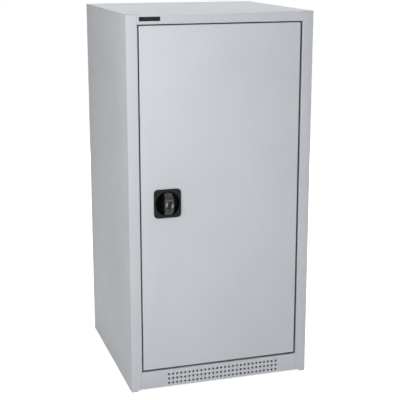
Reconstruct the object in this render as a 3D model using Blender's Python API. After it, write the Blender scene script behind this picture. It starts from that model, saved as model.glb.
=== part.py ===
"""Free-standing sheet-steel storage cabinet with one inset door.

The door hangs on two hidden pivot pins and closes with a turn handle, whose pinion drives two
rod bolts out of the door's top and bottom edges. Three shelves rest on clips inside.
All sizes are in metres. X runs to the right and Z up from the floor. Sizes in Y are measured from
the front face of the carcass towards the back, and the root empty moves them to the origin.
"""

import math

import bmesh
import bpy
from mathutils import Matrix, Vector

# Carcass
WIDTH = 0.500
DEPTH = 0.500
HEIGHT = 1.000
SHEET = 0.0010
BEND_RADIUS = 0.0025
BEND_STEPS = 3
SEAT_GAP = 0.0003
STILE_WIDTH = 0.030
STOP_DEPTH = 0.033
STOP_LIP = 0.012
REAR_FLANGE = 0.020
BACK_INSET = 0.003
BACK_LIFT = 0.005
HEADER_HEIGHT = 0.0255
RETURN_EDGE = 0.010
LID_FLANGE = 0.015
PLINTH_HEIGHT = 0.0535
PLINTH_LIFT = 0.0045
PLINTH_FOOT = 0.020
STILE_FOOT = 0.0175
BASE_FLANGE = 0.025
FLOOR_FLANGE = 0.018
FLOOR_SIDE_GAP = 0.002
FLOOR_REAR_GAP = 0.004
REAR_RAIL_DEPTH = 0.026
REAR_RAIL_GAP = 0.006

# Ventilation holes in the plinth and the slots over them in the floor
VENT_DIAMETER = 0.0060
VENT_PITCH_X = 0.0114
VENT_PITCH_Z = 0.0125
VENT_ROWS = 3
VENT_MARGIN_LATCH = 0.0735
VENT_MARGIN_HINGE = 0.0585
VENT_MARGIN_FOOT = 0.0102
VENT_SIDES = 12
FLOOR_SLOT_LENGTH = 0.040
FLOOR_SLOT_WIDTH = 0.008
FLOOR_SLOT_PITCH = 0.055
FLOOR_SLOT_MARGIN = 0.040

# Door
DOOR_THICKNESS = 0.022
DOOR_LIP = 0.015
DOOR_CORNER = 0.0020
INNER_CORNER = 0.0005
GAP_LATCH = 0.0030
GAP_HINGE = 0.0050
GAP_TOP = 0.0025
GAP_BOTTOM = 0.0050
STIFFENER_X = 0.040
STIFFENER_WIDTH = 0.060
STIFFENER_FLANGE = 0.012
STIFFENER_DEPTH = 0.018
STIFFENER_END_GAP = 0.022

# Door pivots
PIVOT_INSET = 0.011
PIVOT_DEPTH = 0.010
PIN_DIAMETER = 0.008
PIN_HEAD_DIAMETER = 0.014
PIN_HEAD_HEIGHT = 0.002
PIN_REACH = 0.014
BUSH_WALL = 0.0017
BUSH_FLANGE_WIDTH = 0.0008
BUSH_FLANGE_HEIGHT = 0.0012
BUSH_LENGTH = 0.013
WASHER_DIAMETER = 0.012
ROUND_SIDES = 24

# Shelves, their slotted rails and clips
SHELF_COUNT = 3
SHELF_EDGE = 0.025
SHELF_LIP = 0.012
SHELF_SIDE_GAP = 0.0020
SHELF_FRONT = 0.050
SHELF_REAR_GAP = 0.008
RAIL_WIDTH = 0.026
RAIL_DEPTH = 0.012
RAIL_FRONT = 0.090
RAIL_BACK_GAP = 0.070
SLOT_PITCH = 0.040
SLOT_WIDTH = 0.009
SLOT_HEIGHT = 0.003
SLOT_END_MARGIN = 0.040
CLIP_WIDTH = 0.0075
CLIP_THICKNESS = 0.0018
CLIP_LEDGE = 0.015
CLIP_LEG = 0.014
CLIP_TONGUE = 0.005

# Rubber stops on the latch stile
BUFFER_DIAMETER = 0.010
BUFFER_TIP_DIAMETER = 0.007
BUFFER_DOME = 0.0012
BUFFER_END_GAP = 0.080

# Lock: escutcheon with a round dish, turn handle and key barrel
LOCK_INSET = 0.0695
ESCUTCHEON_WIDTH = 0.072
ESCUTCHEON_HEIGHT = 0.076
ESCUTCHEON_CORNER = 0.010
ESCUTCHEON_PROUD = 0.004
ESCUTCHEON_EDGE = 0.0015
DISH_DIAMETER = 0.064
DISH_DEPTH = 0.009
DISH_TAPER = 0.0015
DISH_FILLET = 0.003
CUP_WALL = 0.0020
CUP_FLOOR = 0.0025
DISH_SIDES = 48
CORNER_CROWDING = 0.6
GRIP_WIDTH = 0.022
GRIP_WAIST = 0.028
GRIP_DRAFT = 0.0010
GRIP_PROUD = 0.022
GRIP_EDGE = 0.0015
GRIP_DISH_GAP = 0.0010
GRIP_FALL = 0.012
GRIP_STEPS = 3
GRIP_END_STEPS = 4
BARREL_DIAMETER = 0.018
BARREL_BEZEL = 0.0015
BARREL_BEZEL_HEIGHT = 0.0012
BARREL_LENGTH = 0.013
PLUG_DIAMETER = 0.012
KEYWAY_WIDTH = 0.0026
KEYWAY_HEIGHT = 0.0086
KEYWAY_DEPTH = 0.0050

# Lock drive: pinion on the handle's spindle between two racked rods
GEAR_MODULE = 0.0015
PINION_TEETH = 14
PRESSURE_ANGLE = math.radians(20)
ADDENDUM = 0.0012
DEDENDUM = 0.00165
BACKLASH = 0.00025
HANDLE_TURN = math.radians(90)
SPINDLE_DIAMETER = 0.010
SPINDLE_SQUARE = 0.008
SPINDLE_CORNER = 0.0005
SPINDLE_TAIL = 0.005
SPINDLE_GRIP = 0.0075
CLIP_RING_DIAMETER = 0.010
CLIP_RING_THICKNESS = 0.0012
ROD_WIDTH = 0.010
ROD_THICKNESS = 0.004
ROD_RECESS = 0.0005
ROD_TIP_WIDTH = 0.006
ROD_TIP_LENGTH = 0.008
RACK_LEAD = 0.008
ROD_SLOT_CLEARANCE = 0.0006
KEEPER_CLEARANCE = 0.0020
CASE_HEIGHT = 0.056
CASE_FLANGE = 0.006
CASE_SIDE_GAP = 0.0006
CASE_ROD_GAP = 0.0017
GUIDE_WALL = 0.006
GUIDE_HEIGHT = 0.016
GUIDE_END_GAP = 0.045

# Places that follow from the sizes above
HANDLE_PROUD = GRIP_PROUD + SEAT_GAP + BARREL_BEZEL_HEIGHT
FRONT_Y = (HANDLE_PROUD - DEPTH) / 2
HALF_WIDTH = WIDTH / 2
HALF_OPENING = HALF_WIDTH - STILE_WIDTH
STILE_FLAT = HALF_OPENING + BEND_RADIUS + SEAT_GAP
FRAME_HALF = STILE_FLAT - SEAT_GAP
OPENING_TOP = HEIGHT - HEADER_HEIGHT
LID_UNDERSIDE = HEIGHT - SHEET
BACK_INNER = DEPTH - SHEET - SEAT_GAP
REAR_LIMIT = BACK_INNER - BEND_RADIUS - SEAT_GAP
WALL_INNER = HALF_WIDTH - SHEET
RETURN_DEPTH = STOP_DEPTH - (BEND_RADIUS - SHEET) - SEAT_GAP
DOOR_LEFT = -HALF_OPENING + GAP_LATCH
DOOR_RIGHT = HALF_OPENING - GAP_HINGE
DOOR_BOTTOM = PLINTH_HEIGHT + GAP_BOTTOM
DOOR_TOP = OPENING_TOP - GAP_TOP
PIVOT = Vector((DOOR_RIGHT - PIVOT_INSET, PIVOT_DEPTH, 0))
LOCK = Vector((DOOR_LEFT + LOCK_INSET, 0, (DOOR_BOTTOM + DOOR_TOP) / 2))
RAIL_FACE = WALL_INNER - SEAT_GAP - RAIL_DEPTH
GRIP_LAND = BARREL_DIAMETER / 2 + BARREL_BEZEL + SEAT_GAP
PITCH_RADIUS = GEAR_MODULE * PINION_TEETH / 2
ROD_TRAVEL = PITCH_RADIUS * HANDLE_TURN
CUP_BACK = DISH_DEPTH + CUP_FLOOR
CASE_FLOOR = CUP_BACK + SEAT_GAP + SHEET
ROD_FRONT = CASE_FLOOR + CASE_ROD_GAP
ROD_BACK = ROD_FRONT + ROD_THICKNESS
ROD_MIDDLE = (ROD_FRONT + ROD_BACK) / 2
CASE_RIM = ROD_BACK + CASE_ROD_GAP
ROD_EDGE = PITCH_RADIUS + DEDENDUM
ROD_OFFSET = ROD_EDGE + ROD_WIDTH / 2
CASE_HALF_WIDTH = ROD_EDGE + ROD_WIDTH + CASE_SIDE_GAP
COVER_BACK = CASE_RIM + SEAT_GAP + SHEET
UPPER_ROD_X = LOCK.x - ROD_OFFSET
LOWER_ROD_X = LOCK.x + ROD_OFFSET

# Finishes: sRGB colour, roughness and metallic value
FINISHES = {
    "grey_powder_coat": ((0.77, 0.78, 0.80), 0.45, 0.0),
    "black_plastic": ((0.05, 0.05, 0.055), 0.40, 0.0),
    "nickel": ((0.72, 0.71, 0.69), 0.25, 1.0),
    "zinc_steel": ((0.60, 0.61, 0.62), 0.40, 1.0),
    "nylon": ((0.80, 0.80, 0.78), 0.50, 0.0),
    "rubber": ((0.06, 0.06, 0.06), 0.80, 0.0),
}


def clear_scene():
    """Removes every object of the startup scene."""
    for obj in list(bpy.data.objects):
        bpy.data.objects.remove(obj, do_unlink=True)


def to_linear(channel):
    """Linear value of one sRGB channel."""
    if channel <= 0.04045:
        return channel / 12.92
    return ((channel + 0.055) / 1.055) ** 2.4


def finish(name):
    """The Principled BSDF material of that finish, made once."""
    if name in bpy.data.materials:
        return bpy.data.materials[name]
    colour, roughness, metallic = FINISHES[name]
    material = bpy.data.materials.new(name)
    material.use_nodes = True
    shader = material.node_tree.nodes["Principled BSDF"]
    shader.inputs["Base Color"].default_value = (*map(to_linear, colour), 1)
    shader.inputs["Roughness"].default_value = roughness
    shader.inputs["Metallic"].default_value = metallic
    return material


def pivot_empty(name, place, parent=None):
    """An empty at a place in cabinet coordinates, which carries the pieces of one body."""
    empty = bpy.data.objects.new(name, None)
    bpy.context.scene.collection.objects.link(empty)
    empty["place"] = tuple(place)
    if parent is None:
        empty.location = place
    else:
        empty.parent = parent
        empty.location = Vector(place) - Vector(parent["place"])
    return empty


def piece(name, bm, finish_name, body):
    """One named solid from a bmesh in cabinet coordinates, parented to its body's empty."""
    bmesh.ops.recalc_face_normals(bm, faces=bm.faces[:])
    mesh = bpy.data.meshes.new(name)
    bm.to_mesh(mesh)
    bm.free()
    mesh.shade_smooth()
    mesh.set_sharp_from_angle(angle=math.radians(30))
    mesh.materials.append(finish(finish_name))
    obj = bpy.data.objects.new(name, mesh)
    bpy.context.scene.collection.objects.link(obj)
    obj.parent = body
    obj.location = -Vector(body["place"])
    return obj


def combine(obj, shapes, operation):
    """Adds one Boolean with all the shapes, bmeshes in cabinet coordinates that don't touch each other."""
    joined = bpy.data.meshes.new(obj.name + "_tool")
    whole = bmesh.new()
    for bm in shapes:
        bmesh.ops.recalc_face_normals(bm, faces=bm.faces[:])
        bm.to_mesh(joined)
        bm.free()
        whole.from_mesh(joined)
    whole.to_mesh(joined)
    whole.free()
    tool = bpy.data.objects.new(obj.name + "_tool", joined)
    bpy.context.scene.collection.objects.link(tool)
    tool.parent = obj.parent
    tool.location = obj.location
    tool.hide_render = True
    tool.display_type = "WIRE"
    modifier = obj.modifiers.new(operation.lower(), "BOOLEAN")
    modifier.operation = operation
    modifier.solver = "EXACT"
    modifier.object = tool


def cut(obj, *shapes):
    """Cuts the shapes out of a piece."""
    combine(obj, shapes, "DIFFERENCE")


def loft(loops, ring=False, bands=None):
    """A closed solid through loops of equally many points, with end caps, or round on itself as a ring.

    Bands are lists of point numbers that close the last loop in several faces instead of one.
    """
    bm = bmesh.new()
    rows = [[bm.verts.new(point) for point in loop] for loop in loops]
    pairs = list(zip(rows, rows[1:] + rows[:1])) if ring else list(zip(rows, rows[1:]))
    count = len(rows[0])
    for low, high in pairs:
        for i in range(count):
            j = (i + 1) % count
            bm.faces.new((low[i], low[j], high[j], high[i]))
    if not ring:
        bm.faces.new(rows[0][::-1])
        for band in bands or [range(count)]:
            bm.faces.new([rows[-1][i] for i in band])
    return bm


def placed(axis, along, u, v):
    """A point from its place along one axis and its two other coordinates, in X, Y, Z order."""
    return {"X": (along, u, v), "Y": (u, along, v), "Z": (u, v, along)}[axis]


def prism(outline, axis, start, end):
    """A solid with the same outline all along one axis."""
    return loft([[placed(axis, along, u, v) for u, v in outline] for along in (start, end)])


def box(low, high):
    """A solid box between two corners."""
    outline = [(low[0], low[1]), (high[0], low[1]), (high[0], high[1]), (low[0], high[1])]
    return prism(outline, "Z", low[2], high[2])


def circle(radius, centre=(0, 0), sides=ROUND_SIDES):
    """Points round a circle."""
    turns = [2 * math.pi * i / sides for i in range(sides)]
    return [(centre[0] + radius * math.cos(t), centre[1] + radius * math.sin(t)) for t in turns]


def cylinder(axis, centre, radius, start, end, sides=ROUND_SIDES):
    """A solid cylinder along an axis; centre holds the two other coordinates."""
    return prism(circle(radius, centre, sides), axis, start, end)


def turned(axis, centre, stations, ring=False, sides=ROUND_SIDES):
    """A turned solid through (radius, place along the axis) stations."""
    loops = []
    for radius, along in stations:
        loops.append([placed(axis, along, u, v) for u, v in circle(radius, centre, sides)])
    return loft(loops, ring)


def filleted(points, radii):
    """An open line of points with each inner corner rounded to its radius."""
    line = [points[0]]
    for before, corner, after, radius in zip(points, points[1:], points[2:], radii):
        corner = Vector(corner)
        back = (Vector(before) - corner).normalized()
        ahead = (Vector(after) - corner).normalized()
        opening = back.angle(ahead)
        reach = radius / math.tan(opening / 2)
        centre = corner + (back + ahead).normalized() * (radius / math.sin(opening / 2))
        first = corner + back * reach - centre
        sweep = first.angle_signed(corner + ahead * reach - centre)
        for i in range(BEND_STEPS + 1):
            # A positive signed angle in mathutils is clockwise.
            turn = Matrix.Rotation(-sweep * i / BEND_STEPS, 2)
            line.append(tuple(centre + turn @ first))
    return line + [points[-1]]


def folded(points, sheet=SHEET):
    """The outline of a folded sheet: its shown face runs along the points, thickness on their right."""
    points = [Vector(p) for p in points]
    ahead = [(b - a).normalized() for a, b in zip(points, points[1:])]
    right = [Vector((d.y, -d.x)) for d in ahead]
    hidden = [points[0] + right[0] * sheet]
    shown_radii, hidden_radii = [], []
    for i in range(1, len(points) - 1):
        mitre = right[i - 1] + right[i]
        hidden.append(points[i] + mitre * (sheet / (1 + right[i - 1].dot(right[i]))))
        turns_right = ahead[i].dot(right[i - 1]) > 0
        shown_radii.append(BEND_RADIUS if turns_right else BEND_RADIUS - sheet)
        hidden_radii.append(BEND_RADIUS - sheet if turns_right else BEND_RADIUS)
    hidden.append(points[-1] + right[-1] * sheet)
    shown = filleted([tuple(p) for p in points], shown_radii)
    return shown + filleted([tuple(p) for p in hidden], hidden_radii)[::-1]


def mirrored(outline):
    """An outline reflected to the other side of X = 0."""
    return [(-u, v) for u, v in outline][::-1]


def rounded_rectangle(left, right, bottom, top, radius):
    """Points round a rectangle with rounded corners."""
    centres = [
        (right - radius, top - radius, 0),
        (left + radius, top - radius, 1),
        (left + radius, bottom + radius, 2),
        (right - radius, bottom + radius, 3),
    ]
    points = []
    for u, v, quarter in centres:
        for i in range(BEND_STEPS + 1):
            turn = math.pi / 2 * (quarter + i / BEND_STEPS)
            points.append((u + radius * math.cos(turn), v + radius * math.sin(turn)))
    return points


def pan(axis, left, right, bottom, top, corner, stations):
    """A folded tray: rounded rectangles through (inset from the edge, place along the axis) stations."""
    loops = []
    for inset, along in stations:
        radius = max(corner - inset, INNER_CORNER)
        outline = rounded_rectangle(left + inset, right - inset, bottom + inset, top - inset, radius)
        loops.append([placed(axis, along, u, v) for u, v in outline])
    return loft(loops)


def tray_stations(face, depth, sheet, lip, towards):
    """Stations of a tray: rounded edge, sides of that depth, and a lip folded in at their end."""
    edge = []
    for i in range(BEND_STEPS + 1):
        turn = math.pi / 2 * i / BEND_STEPS
        edge.append((BEND_RADIUS * (1 - math.sin(turn)), BEND_RADIUS * (1 - math.cos(turn))))
    inner = [(0, depth), (lip, depth), (lip, depth - sheet), (sheet, depth - sheet), (sheet, sheet)]
    return [(inset, face + towards * along) for inset, along in edge + inner]


def side_outline():
    """Plan of the left side: stop lip, return, stile, wall and rear flange folded from one sheet."""
    return folded(
        [
            (-HALF_OPENING + STOP_LIP, STOP_DEPTH),
            (-HALF_OPENING, STOP_DEPTH),
            (-HALF_OPENING, 0),
            (-HALF_WIDTH, 0),
            (-HALF_WIDTH, BACK_INNER),
            (-HALF_WIDTH + REAR_FLANGE, BACK_INNER),
        ]
    )


def make_sides(body):
    """Side panels, notched for the header and plinth, each with the foot of its stile down to the floor."""
    top = LID_UNDERSIDE - SEAT_GAP
    sides = (("left_side_panel", -1, side_outline()), ("right_side_panel", 1, mirrored(side_outline())))
    for name, sign, outline in sides:
        panel = piece(name, prism(outline, "Z", 0, top), "grey_powder_coat", body)
        near, far = sorted((sign * (HALF_OPENING - STOP_LIP - SHEET), sign * STILE_FLAT))
        notches = []
        for low, high in ((-SHEET, PLINTH_HEIGHT + SEAT_GAP), (OPENING_TOP - SEAT_GAP, HEIGHT)):
            notches.append(box((near, -SHEET, low), (far, STOP_DEPTH + 2 * SHEET, high)))
        cut(panel, *notches)
        near, far = sorted((sign * HALF_OPENING, sign * (HALF_WIDTH - STILE_FOOT)))
        cut(panel, box((near, -SHEET, -SHEET), (far, 2 * SHEET, PLINTH_LIFT)))


def make_back(body):
    """Flat rear panel over the rear flanges of the sides."""
    half = HALF_WIDTH - BACK_INSET
    low = (-half, DEPTH - SHEET, BACK_LIFT)
    piece("back_panel", box(low, (half, DEPTH, LID_UNDERSIDE - SEAT_GAP)), "grey_powder_coat", body)


def keeper_slot(x, low, high):
    """Cutter for the hole that a rod bolt enters in the frame."""
    half = ROD_WIDTH / 2 + KEEPER_CLEARANCE
    deep = ROD_THICKNESS / 2 + KEEPER_CLEARANCE
    return box((x - half, ROD_MIDDLE - deep, low), (x + half, ROD_MIDDLE + deep, high))


def make_lid(body):
    """Lid with the header folded down at its front, and a flange inside each side wall."""
    header = folded(
        [
            (RETURN_DEPTH, OPENING_TOP + RETURN_EDGE),
            (RETURN_DEPTH, OPENING_TOP),
            (0, OPENING_TOP),
            (0, HEIGHT),
            (DEPTH, HEIGHT),
        ]
    )
    lid = piece("top_panel", prism(header, "X", -FRAME_HALF, FRAME_HALF), "grey_powder_coat", body)
    overlap = 4 * SHEET
    plates, flanges = [], []
    for side in (-1, 1):
        inner, outer = sorted((side * (FRAME_HALF - overlap), side * HALF_WIDTH))
        plates.append(box((inner, 0, LID_UNDERSIDE), (outer, DEPTH, HEIGHT)))
        wall = side * (WALL_INNER - SEAT_GAP)
        inner, outer = sorted((wall - side * SHEET, wall))
        rear = REAR_LIMIT
        low = (inner, STOP_DEPTH + SHEET + SEAT_GAP, LID_UNDERSIDE - LID_FLANGE)
        flanges.append(box(low, (outer, rear, HEIGHT - SHEET / 2)))
    combine(lid, plates, "UNION")
    combine(lid, flanges, "UNION")
    pin = cylinder("Z", PIVOT.xy, PIN_DIAMETER / 2 + SEAT_GAP, OPENING_TOP - SHEET, OPENING_TOP + 2 * SHEET)
    cut(lid, pin, keeper_slot(UPPER_ROD_X, OPENING_TOP - SHEET, OPENING_TOP + 2 * SHEET))


def vent_holes():
    """Cutters for the rows of ventilation holes across the plinth."""
    first = -HALF_OPENING + VENT_MARGIN_LATCH
    field = 2 * HALF_OPENING - VENT_MARGIN_LATCH - VENT_MARGIN_HINGE
    columns = round(field / VENT_PITCH_X) + 1
    holes = []
    for row in range(VENT_ROWS):
        z = PLINTH_LIFT + VENT_MARGIN_FOOT + row * VENT_PITCH_Z
        for column in range(columns):
            centre = (first + column * VENT_PITCH_X, z)
            holes.append(cylinder("Y", centre, VENT_DIAMETER / 2, -SHEET, 2 * SHEET, VENT_SIDES))
    return holes


def make_plinth(body):
    """Perforated front plinth flush with the stiles, with the lower pivot and rod bolt holes in its top."""
    outline = folded(
        [
            (PLINTH_FOOT, PLINTH_LIFT),
            (0, PLINTH_LIFT),
            (0, PLINTH_HEIGHT),
            (RETURN_DEPTH, PLINTH_HEIGHT),
            (RETURN_DEPTH, PLINTH_HEIGHT - RETURN_EDGE),
        ]
    )
    plinth = piece("front_plinth", prism(outline, "X", -FRAME_HALF, FRAME_HALF), "grey_powder_coat", body)
    low, high = PLINTH_HEIGHT - 2 * SHEET, PLINTH_HEIGHT + SHEET
    pin = cylinder("Z", PIVOT.xy, PIN_DIAMETER / 2 + SEAT_GAP, low, high)
    cut(plinth, pin, keeper_slot(LOWER_ROD_X, low, high), *vent_holes())


def make_base(body):
    """Base rails that carry the floor, and the floor itself with its ventilation slots."""
    rail_top = PLINTH_HEIGHT - SHEET - SEAT_GAP
    web = WALL_INNER - SEAT_GAP
    rail = folded(
        [
            (-web + BASE_FLANGE, 0),
            (-web, 0),
            (-web, rail_top),
            (-web + BASE_FLANGE, rail_top),
        ]
    )[::-1]
    front = STOP_DEPTH + SHEET + SEAT_GAP
    rear = REAR_LIMIT
    piece("left_base_rail", prism(rail, "Y", front, rear), "grey_powder_coat", body)
    piece("right_base_rail", prism(mirrored(rail), "Y", front, rear), "grey_powder_coat", body)

    back = rear - REAR_RAIL_GAP
    rear_rail = folded(
        [
            (back - REAR_RAIL_DEPTH, rail_top),
            (back, rail_top),
            (back, 0),
            (back - REAR_RAIL_DEPTH, 0),
        ]
    )
    half = web - BASE_FLANGE - SEAT_GAP
    piece("rear_base_rail", prism(rear_rail, "X", -half, half), "grey_powder_coat", body)

    edge = rear - FLOOR_REAR_GAP
    tray = folded(
        [
            (front, PLINTH_HEIGHT - FLOOR_FLANGE),
            (front, PLINTH_HEIGHT),
            (edge, PLINTH_HEIGHT),
        ]
    )
    side = WALL_INNER - FLOOR_SIDE_GAP
    inner = web - BASE_FLANGE - SEAT_GAP
    floor = piece("floor_panel", prism(tray, "X", -side, side), "grey_powder_coat", body)
    corners = []
    for sign in (-1, 1):
        near, far = sorted((sign * inner, sign * (side + SHEET)))
        low = (near, front - SHEET, PLINTH_HEIGHT - FLOOR_FLANGE - SHEET)
        corners.append(box(low, (far, front + BEND_RADIUS, PLINTH_HEIGHT - SHEET - SEAT_GAP)))
    cut(floor, *corners)
    count = int((2 * inner - FLOOR_SLOT_LENGTH) / FLOOR_SLOT_PITCH)
    middle = front + FLOOR_SLOT_MARGIN
    slots = []
    for i in range(count):
        x = (i - (count - 1) / 2) * FLOOR_SLOT_PITCH
        low = (x - FLOOR_SLOT_LENGTH / 2, middle - FLOOR_SLOT_WIDTH / 2, PLINTH_HEIGHT - 2 * SHEET)
        high = (x + FLOOR_SLOT_LENGTH / 2, middle + FLOOR_SLOT_WIDTH / 2, PLINTH_HEIGHT + SHEET)
        slots.append(box(low, high))
    cut(floor, *slots)


def rail_places():
    """Centre of the front and rear shelf rails, in Y."""
    return {"front": RAIL_FRONT, "rear": DEPTH - RAIL_BACK_GAP}


def slot_levels():
    """Heights of the shelf-clip slots in the rails."""
    first = PLINTH_HEIGHT + SLOT_END_MARGIN
    count = round((OPENING_TOP - SLOT_END_MARGIN - first) / SLOT_PITCH) + 1
    return [first + i * SLOT_PITCH for i in range(count)]


def make_rails(body):
    """Four slotted uprights for the shelf clips."""
    for sign, side in ((-1, "left"), (1, "right")):
        for place, middle in rail_places().items():
            foot = sign * (WALL_INNER - SEAT_GAP)
            face = sign * RAIL_FACE
            first, last = middle - sign * RAIL_WIDTH / 2, middle + sign * RAIL_WIDTH / 2
            channel = folded([(foot, first), (face, first), (face, last), (foot, last)])
            bottom, top = PLINTH_HEIGHT + SEAT_GAP, OPENING_TOP
            rail = piece(
                f"{side}_{place}_shelf_rail", prism(channel, "Z", bottom, top), "grey_powder_coat", body
            )
            inner, outer = sorted((face - sign * SHEET, face + sign * 2 * SHEET))
            slots = []
            for z in slot_levels():
                low = (inner, middle - SLOT_WIDTH / 2, z - SLOT_HEIGHT / 2)
                slots.append(box(low, (outer, middle + SLOT_WIDTH / 2, z + SLOT_HEIGHT / 2)))
            cut(rail, *slots)


def shelf_levels():
    """Slot heights that hold the shelves, spread evenly over the inside."""
    slots = slot_levels()
    bay = (OPENING_TOP - PLINTH_HEIGHT) / (SHELF_COUNT + 1)
    wanted = [PLINTH_HEIGHT + bay * (i + 1) - SHELF_EDGE for i in range(SHELF_COUNT)]
    return [min(slots, key=lambda z: abs(z - level)) for level in wanted]


def clip_outline(sign):
    """Side view of a clip: a ledge with a tongue through the rail's slot and a leg against its face."""
    face = RAIL_FACE - SEAT_GAP
    points = [
        (RAIL_FACE + CLIP_TONGUE, CLIP_THICKNESS / 2),
        (face - CLIP_LEDGE, CLIP_THICKNESS / 2),
        (face - CLIP_LEDGE, -CLIP_THICKNESS / 2),
        (face - CLIP_THICKNESS, -CLIP_THICKNESS / 2),
        (face - CLIP_THICKNESS, -CLIP_LEG),
        (face, -CLIP_LEG),
        (face, -CLIP_THICKNESS / 2),
        (RAIL_FACE + CLIP_TONGUE, -CLIP_THICKNESS / 2),
    ]
    return [(sign * x, z) for x, z in points]


def make_shelves(body):
    """Shelves as folded trays, and the four clips under each."""
    half = RAIL_FACE - SHELF_SIDE_GAP
    rear = BACK_INNER - SHEET - SHELF_REAR_GAP
    for number, level in enumerate(shelf_levels(), 1):
        base = level + CLIP_THICKNESS / 2 + SEAT_GAP
        stations = tray_stations(base + SHELF_EDGE, SHELF_EDGE, SHEET, SHELF_LIP, -1)
        tray = pan("Z", -half, half, SHELF_FRONT, rear, BEND_RADIUS, stations)
        piece(f"shelf_{number}", tray, "grey_powder_coat", body)
        for sign, side in ((-1, "left"), (1, "right")):
            for place, middle in rail_places().items():
                outline = [(x, z + level) for x, z in clip_outline(sign)]
                clip = prism(outline, "Y", middle - CLIP_WIDTH / 2, middle + CLIP_WIDTH / 2)
                piece(f"shelf_{number}_clip_{side}_{place}", clip, "zinc_steel", body)


def make_buffers(body):
    """Rubber stops between the latch stile's lip and the closed door."""
    x = -HALF_OPENING + STOP_LIP / 2
    front, back = DOOR_THICKNESS + SEAT_GAP, STOP_DEPTH - SEAT_GAP
    tip, foot = BUFFER_TIP_DIAMETER / 2, BUFFER_DIAMETER / 2
    stations = [(tip, front), (foot, front + BUFFER_DOME), (foot, back)]
    for name, z in (("upper", DOOR_TOP - BUFFER_END_GAP), ("lower", DOOR_BOTTOM + BUFFER_END_GAP)):
        piece(f"{name}_door_buffer", turned("Y", (x, z), stations), "rubber", body)


def make_pivots(carcass, door):
    """Pivot pins of the frame, their bushes in the door and the washer that carries the door."""
    shank, head = PIN_DIAMETER / 2, PIN_HEAD_DIAMETER / 2
    bore = shank + SEAT_GAP
    sleeve = bore + BUSH_WALL
    rim = sleeve + BUSH_FLANGE_WIDTH
    ends = (
        ("upper", 1, DOOR_TOP, OPENING_TOP + SHEET + SEAT_GAP),
        ("lower", -1, DOOR_BOTTOM, PLINTH_HEIGHT - SHEET - SEAT_GAP),
    )
    for name, way, edge, seat in ends:
        pin = [(shank, edge - way * PIN_REACH), (shank, seat), (head, seat)]
        pin.append((head, seat + way * PIN_HEAD_HEIGHT))
        piece(f"{name}_pivot_pin", turned("Z", PIVOT.xy, pin), "zinc_steel", carcass)
        collar = edge + way * SEAT_GAP
        bush = [
            (bore, collar + way * BUSH_FLANGE_HEIGHT),
            (rim, collar + way * BUSH_FLANGE_HEIGHT),
            (rim, collar),
            (sleeve, collar),
            (sleeve, edge - way * BUSH_LENGTH),
            (bore, edge - way * BUSH_LENGTH),
        ]
        piece(f"{name}_pivot_bush", turned("Z", PIVOT.xy, bush, ring=True), "black_plastic", door)
    low = PLINTH_HEIGHT + SEAT_GAP
    high = DOOR_BOTTOM - BUSH_FLANGE_HEIGHT - 2 * SEAT_GAP
    washer = [(bore, low), (WASHER_DIAMETER / 2, low), (WASHER_DIAMETER / 2, high), (bore, high)]
    piece("pivot_thrust_washer", turned("Z", PIVOT.xy, washer, ring=True), "black_plastic", carcass)


def make_door(body):
    """Door tray with holes for the lock, bushes and rods, and the hat-section stiffener behind it."""
    stations = tray_stations(0, DOOR_THICKNESS, SHEET, DOOR_LIP, 1)
    tray = pan("Y", DOOR_LEFT, DOOR_RIGHT, DOOR_BOTTOM, DOOR_TOP, DOOR_CORNER, stations)
    door = piece("door_panel", tray, "grey_powder_coat", body)
    cup = DISH_DIAMETER / 2 + CUP_WALL + SEAT_GAP
    holes = [cylinder("Y", (LOCK.x, LOCK.z), cup, -SHEET, 2 * SHEET, DISH_SIDES)]
    bush = PIN_DIAMETER / 2 + 2 * SEAT_GAP + BUSH_WALL
    half = ROD_WIDTH / 2 + ROD_SLOT_CLEARANCE
    deep = ROD_THICKNESS / 2 + ROD_SLOT_CLEARANCE
    for edge, rod_x in ((DOOR_TOP, UPPER_ROD_X), (DOOR_BOTTOM, LOWER_ROD_X)):
        low, high = edge - 2 * SHEET, edge + 2 * SHEET
        holes.append(cylinder("Z", PIVOT.xy, bush, low, high))
        slot = box((rod_x - half, ROD_MIDDLE - deep, low), (rod_x + half, ROD_MIDDLE + deep, high))
        holes.append(slot)
    cut(door, *holes)

    skin = SHEET + SEAT_GAP
    left, right = STIFFENER_X - STIFFENER_WIDTH / 2, STIFFENER_X + STIFFENER_WIDTH / 2
    hat = folded(
        [
            (right + STIFFENER_FLANGE, skin + SHEET),
            (right, skin + SHEET),
            (right, skin + STIFFENER_DEPTH),
            (left, skin + STIFFENER_DEPTH),
            (left, skin + SHEET),
            (left - STIFFENER_FLANGE, skin + SHEET),
        ][::-1]
    )
    rib = prism(hat, "Z", DOOR_BOTTOM + STIFFENER_END_GAP, DOOR_TOP - STIFFENER_END_GAP)
    piece("door_stiffener", rib, "grey_powder_coat", body)


def rounded_reach(turn, half_width, half_height, corner):
    """Distance from the centre of a rounded rectangle to its edge in one direction."""
    c, s = abs(math.cos(turn)), abs(math.sin(turn))
    flat_x, flat_z = half_width - corner, half_height - corner
    reach = 1 / max(c / half_width, s / half_height)
    if c * reach <= flat_x or s * reach <= flat_z:
        return reach
    along = c * flat_x + s * flat_z
    return along + math.sqrt(along * along - flat_x * flat_x - flat_z * flat_z + corner * corner)


def lock_loop(reach, y, sides=DISH_SIDES):
    """A loop round the lock axis at one depth; reach gives its radius in each direction.

    The points lie closer together towards the diagonals, where the corners are.
    """
    even = [2 * math.pi * i / sides for i in range(sides)]
    turns = [t + CORNER_CROWDING * math.sin(4 * t) / 4 for t in even]
    return [(LOCK.x + reach(t) * math.cos(t), y, LOCK.z + reach(t) * math.sin(t)) for t in turns]


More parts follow.
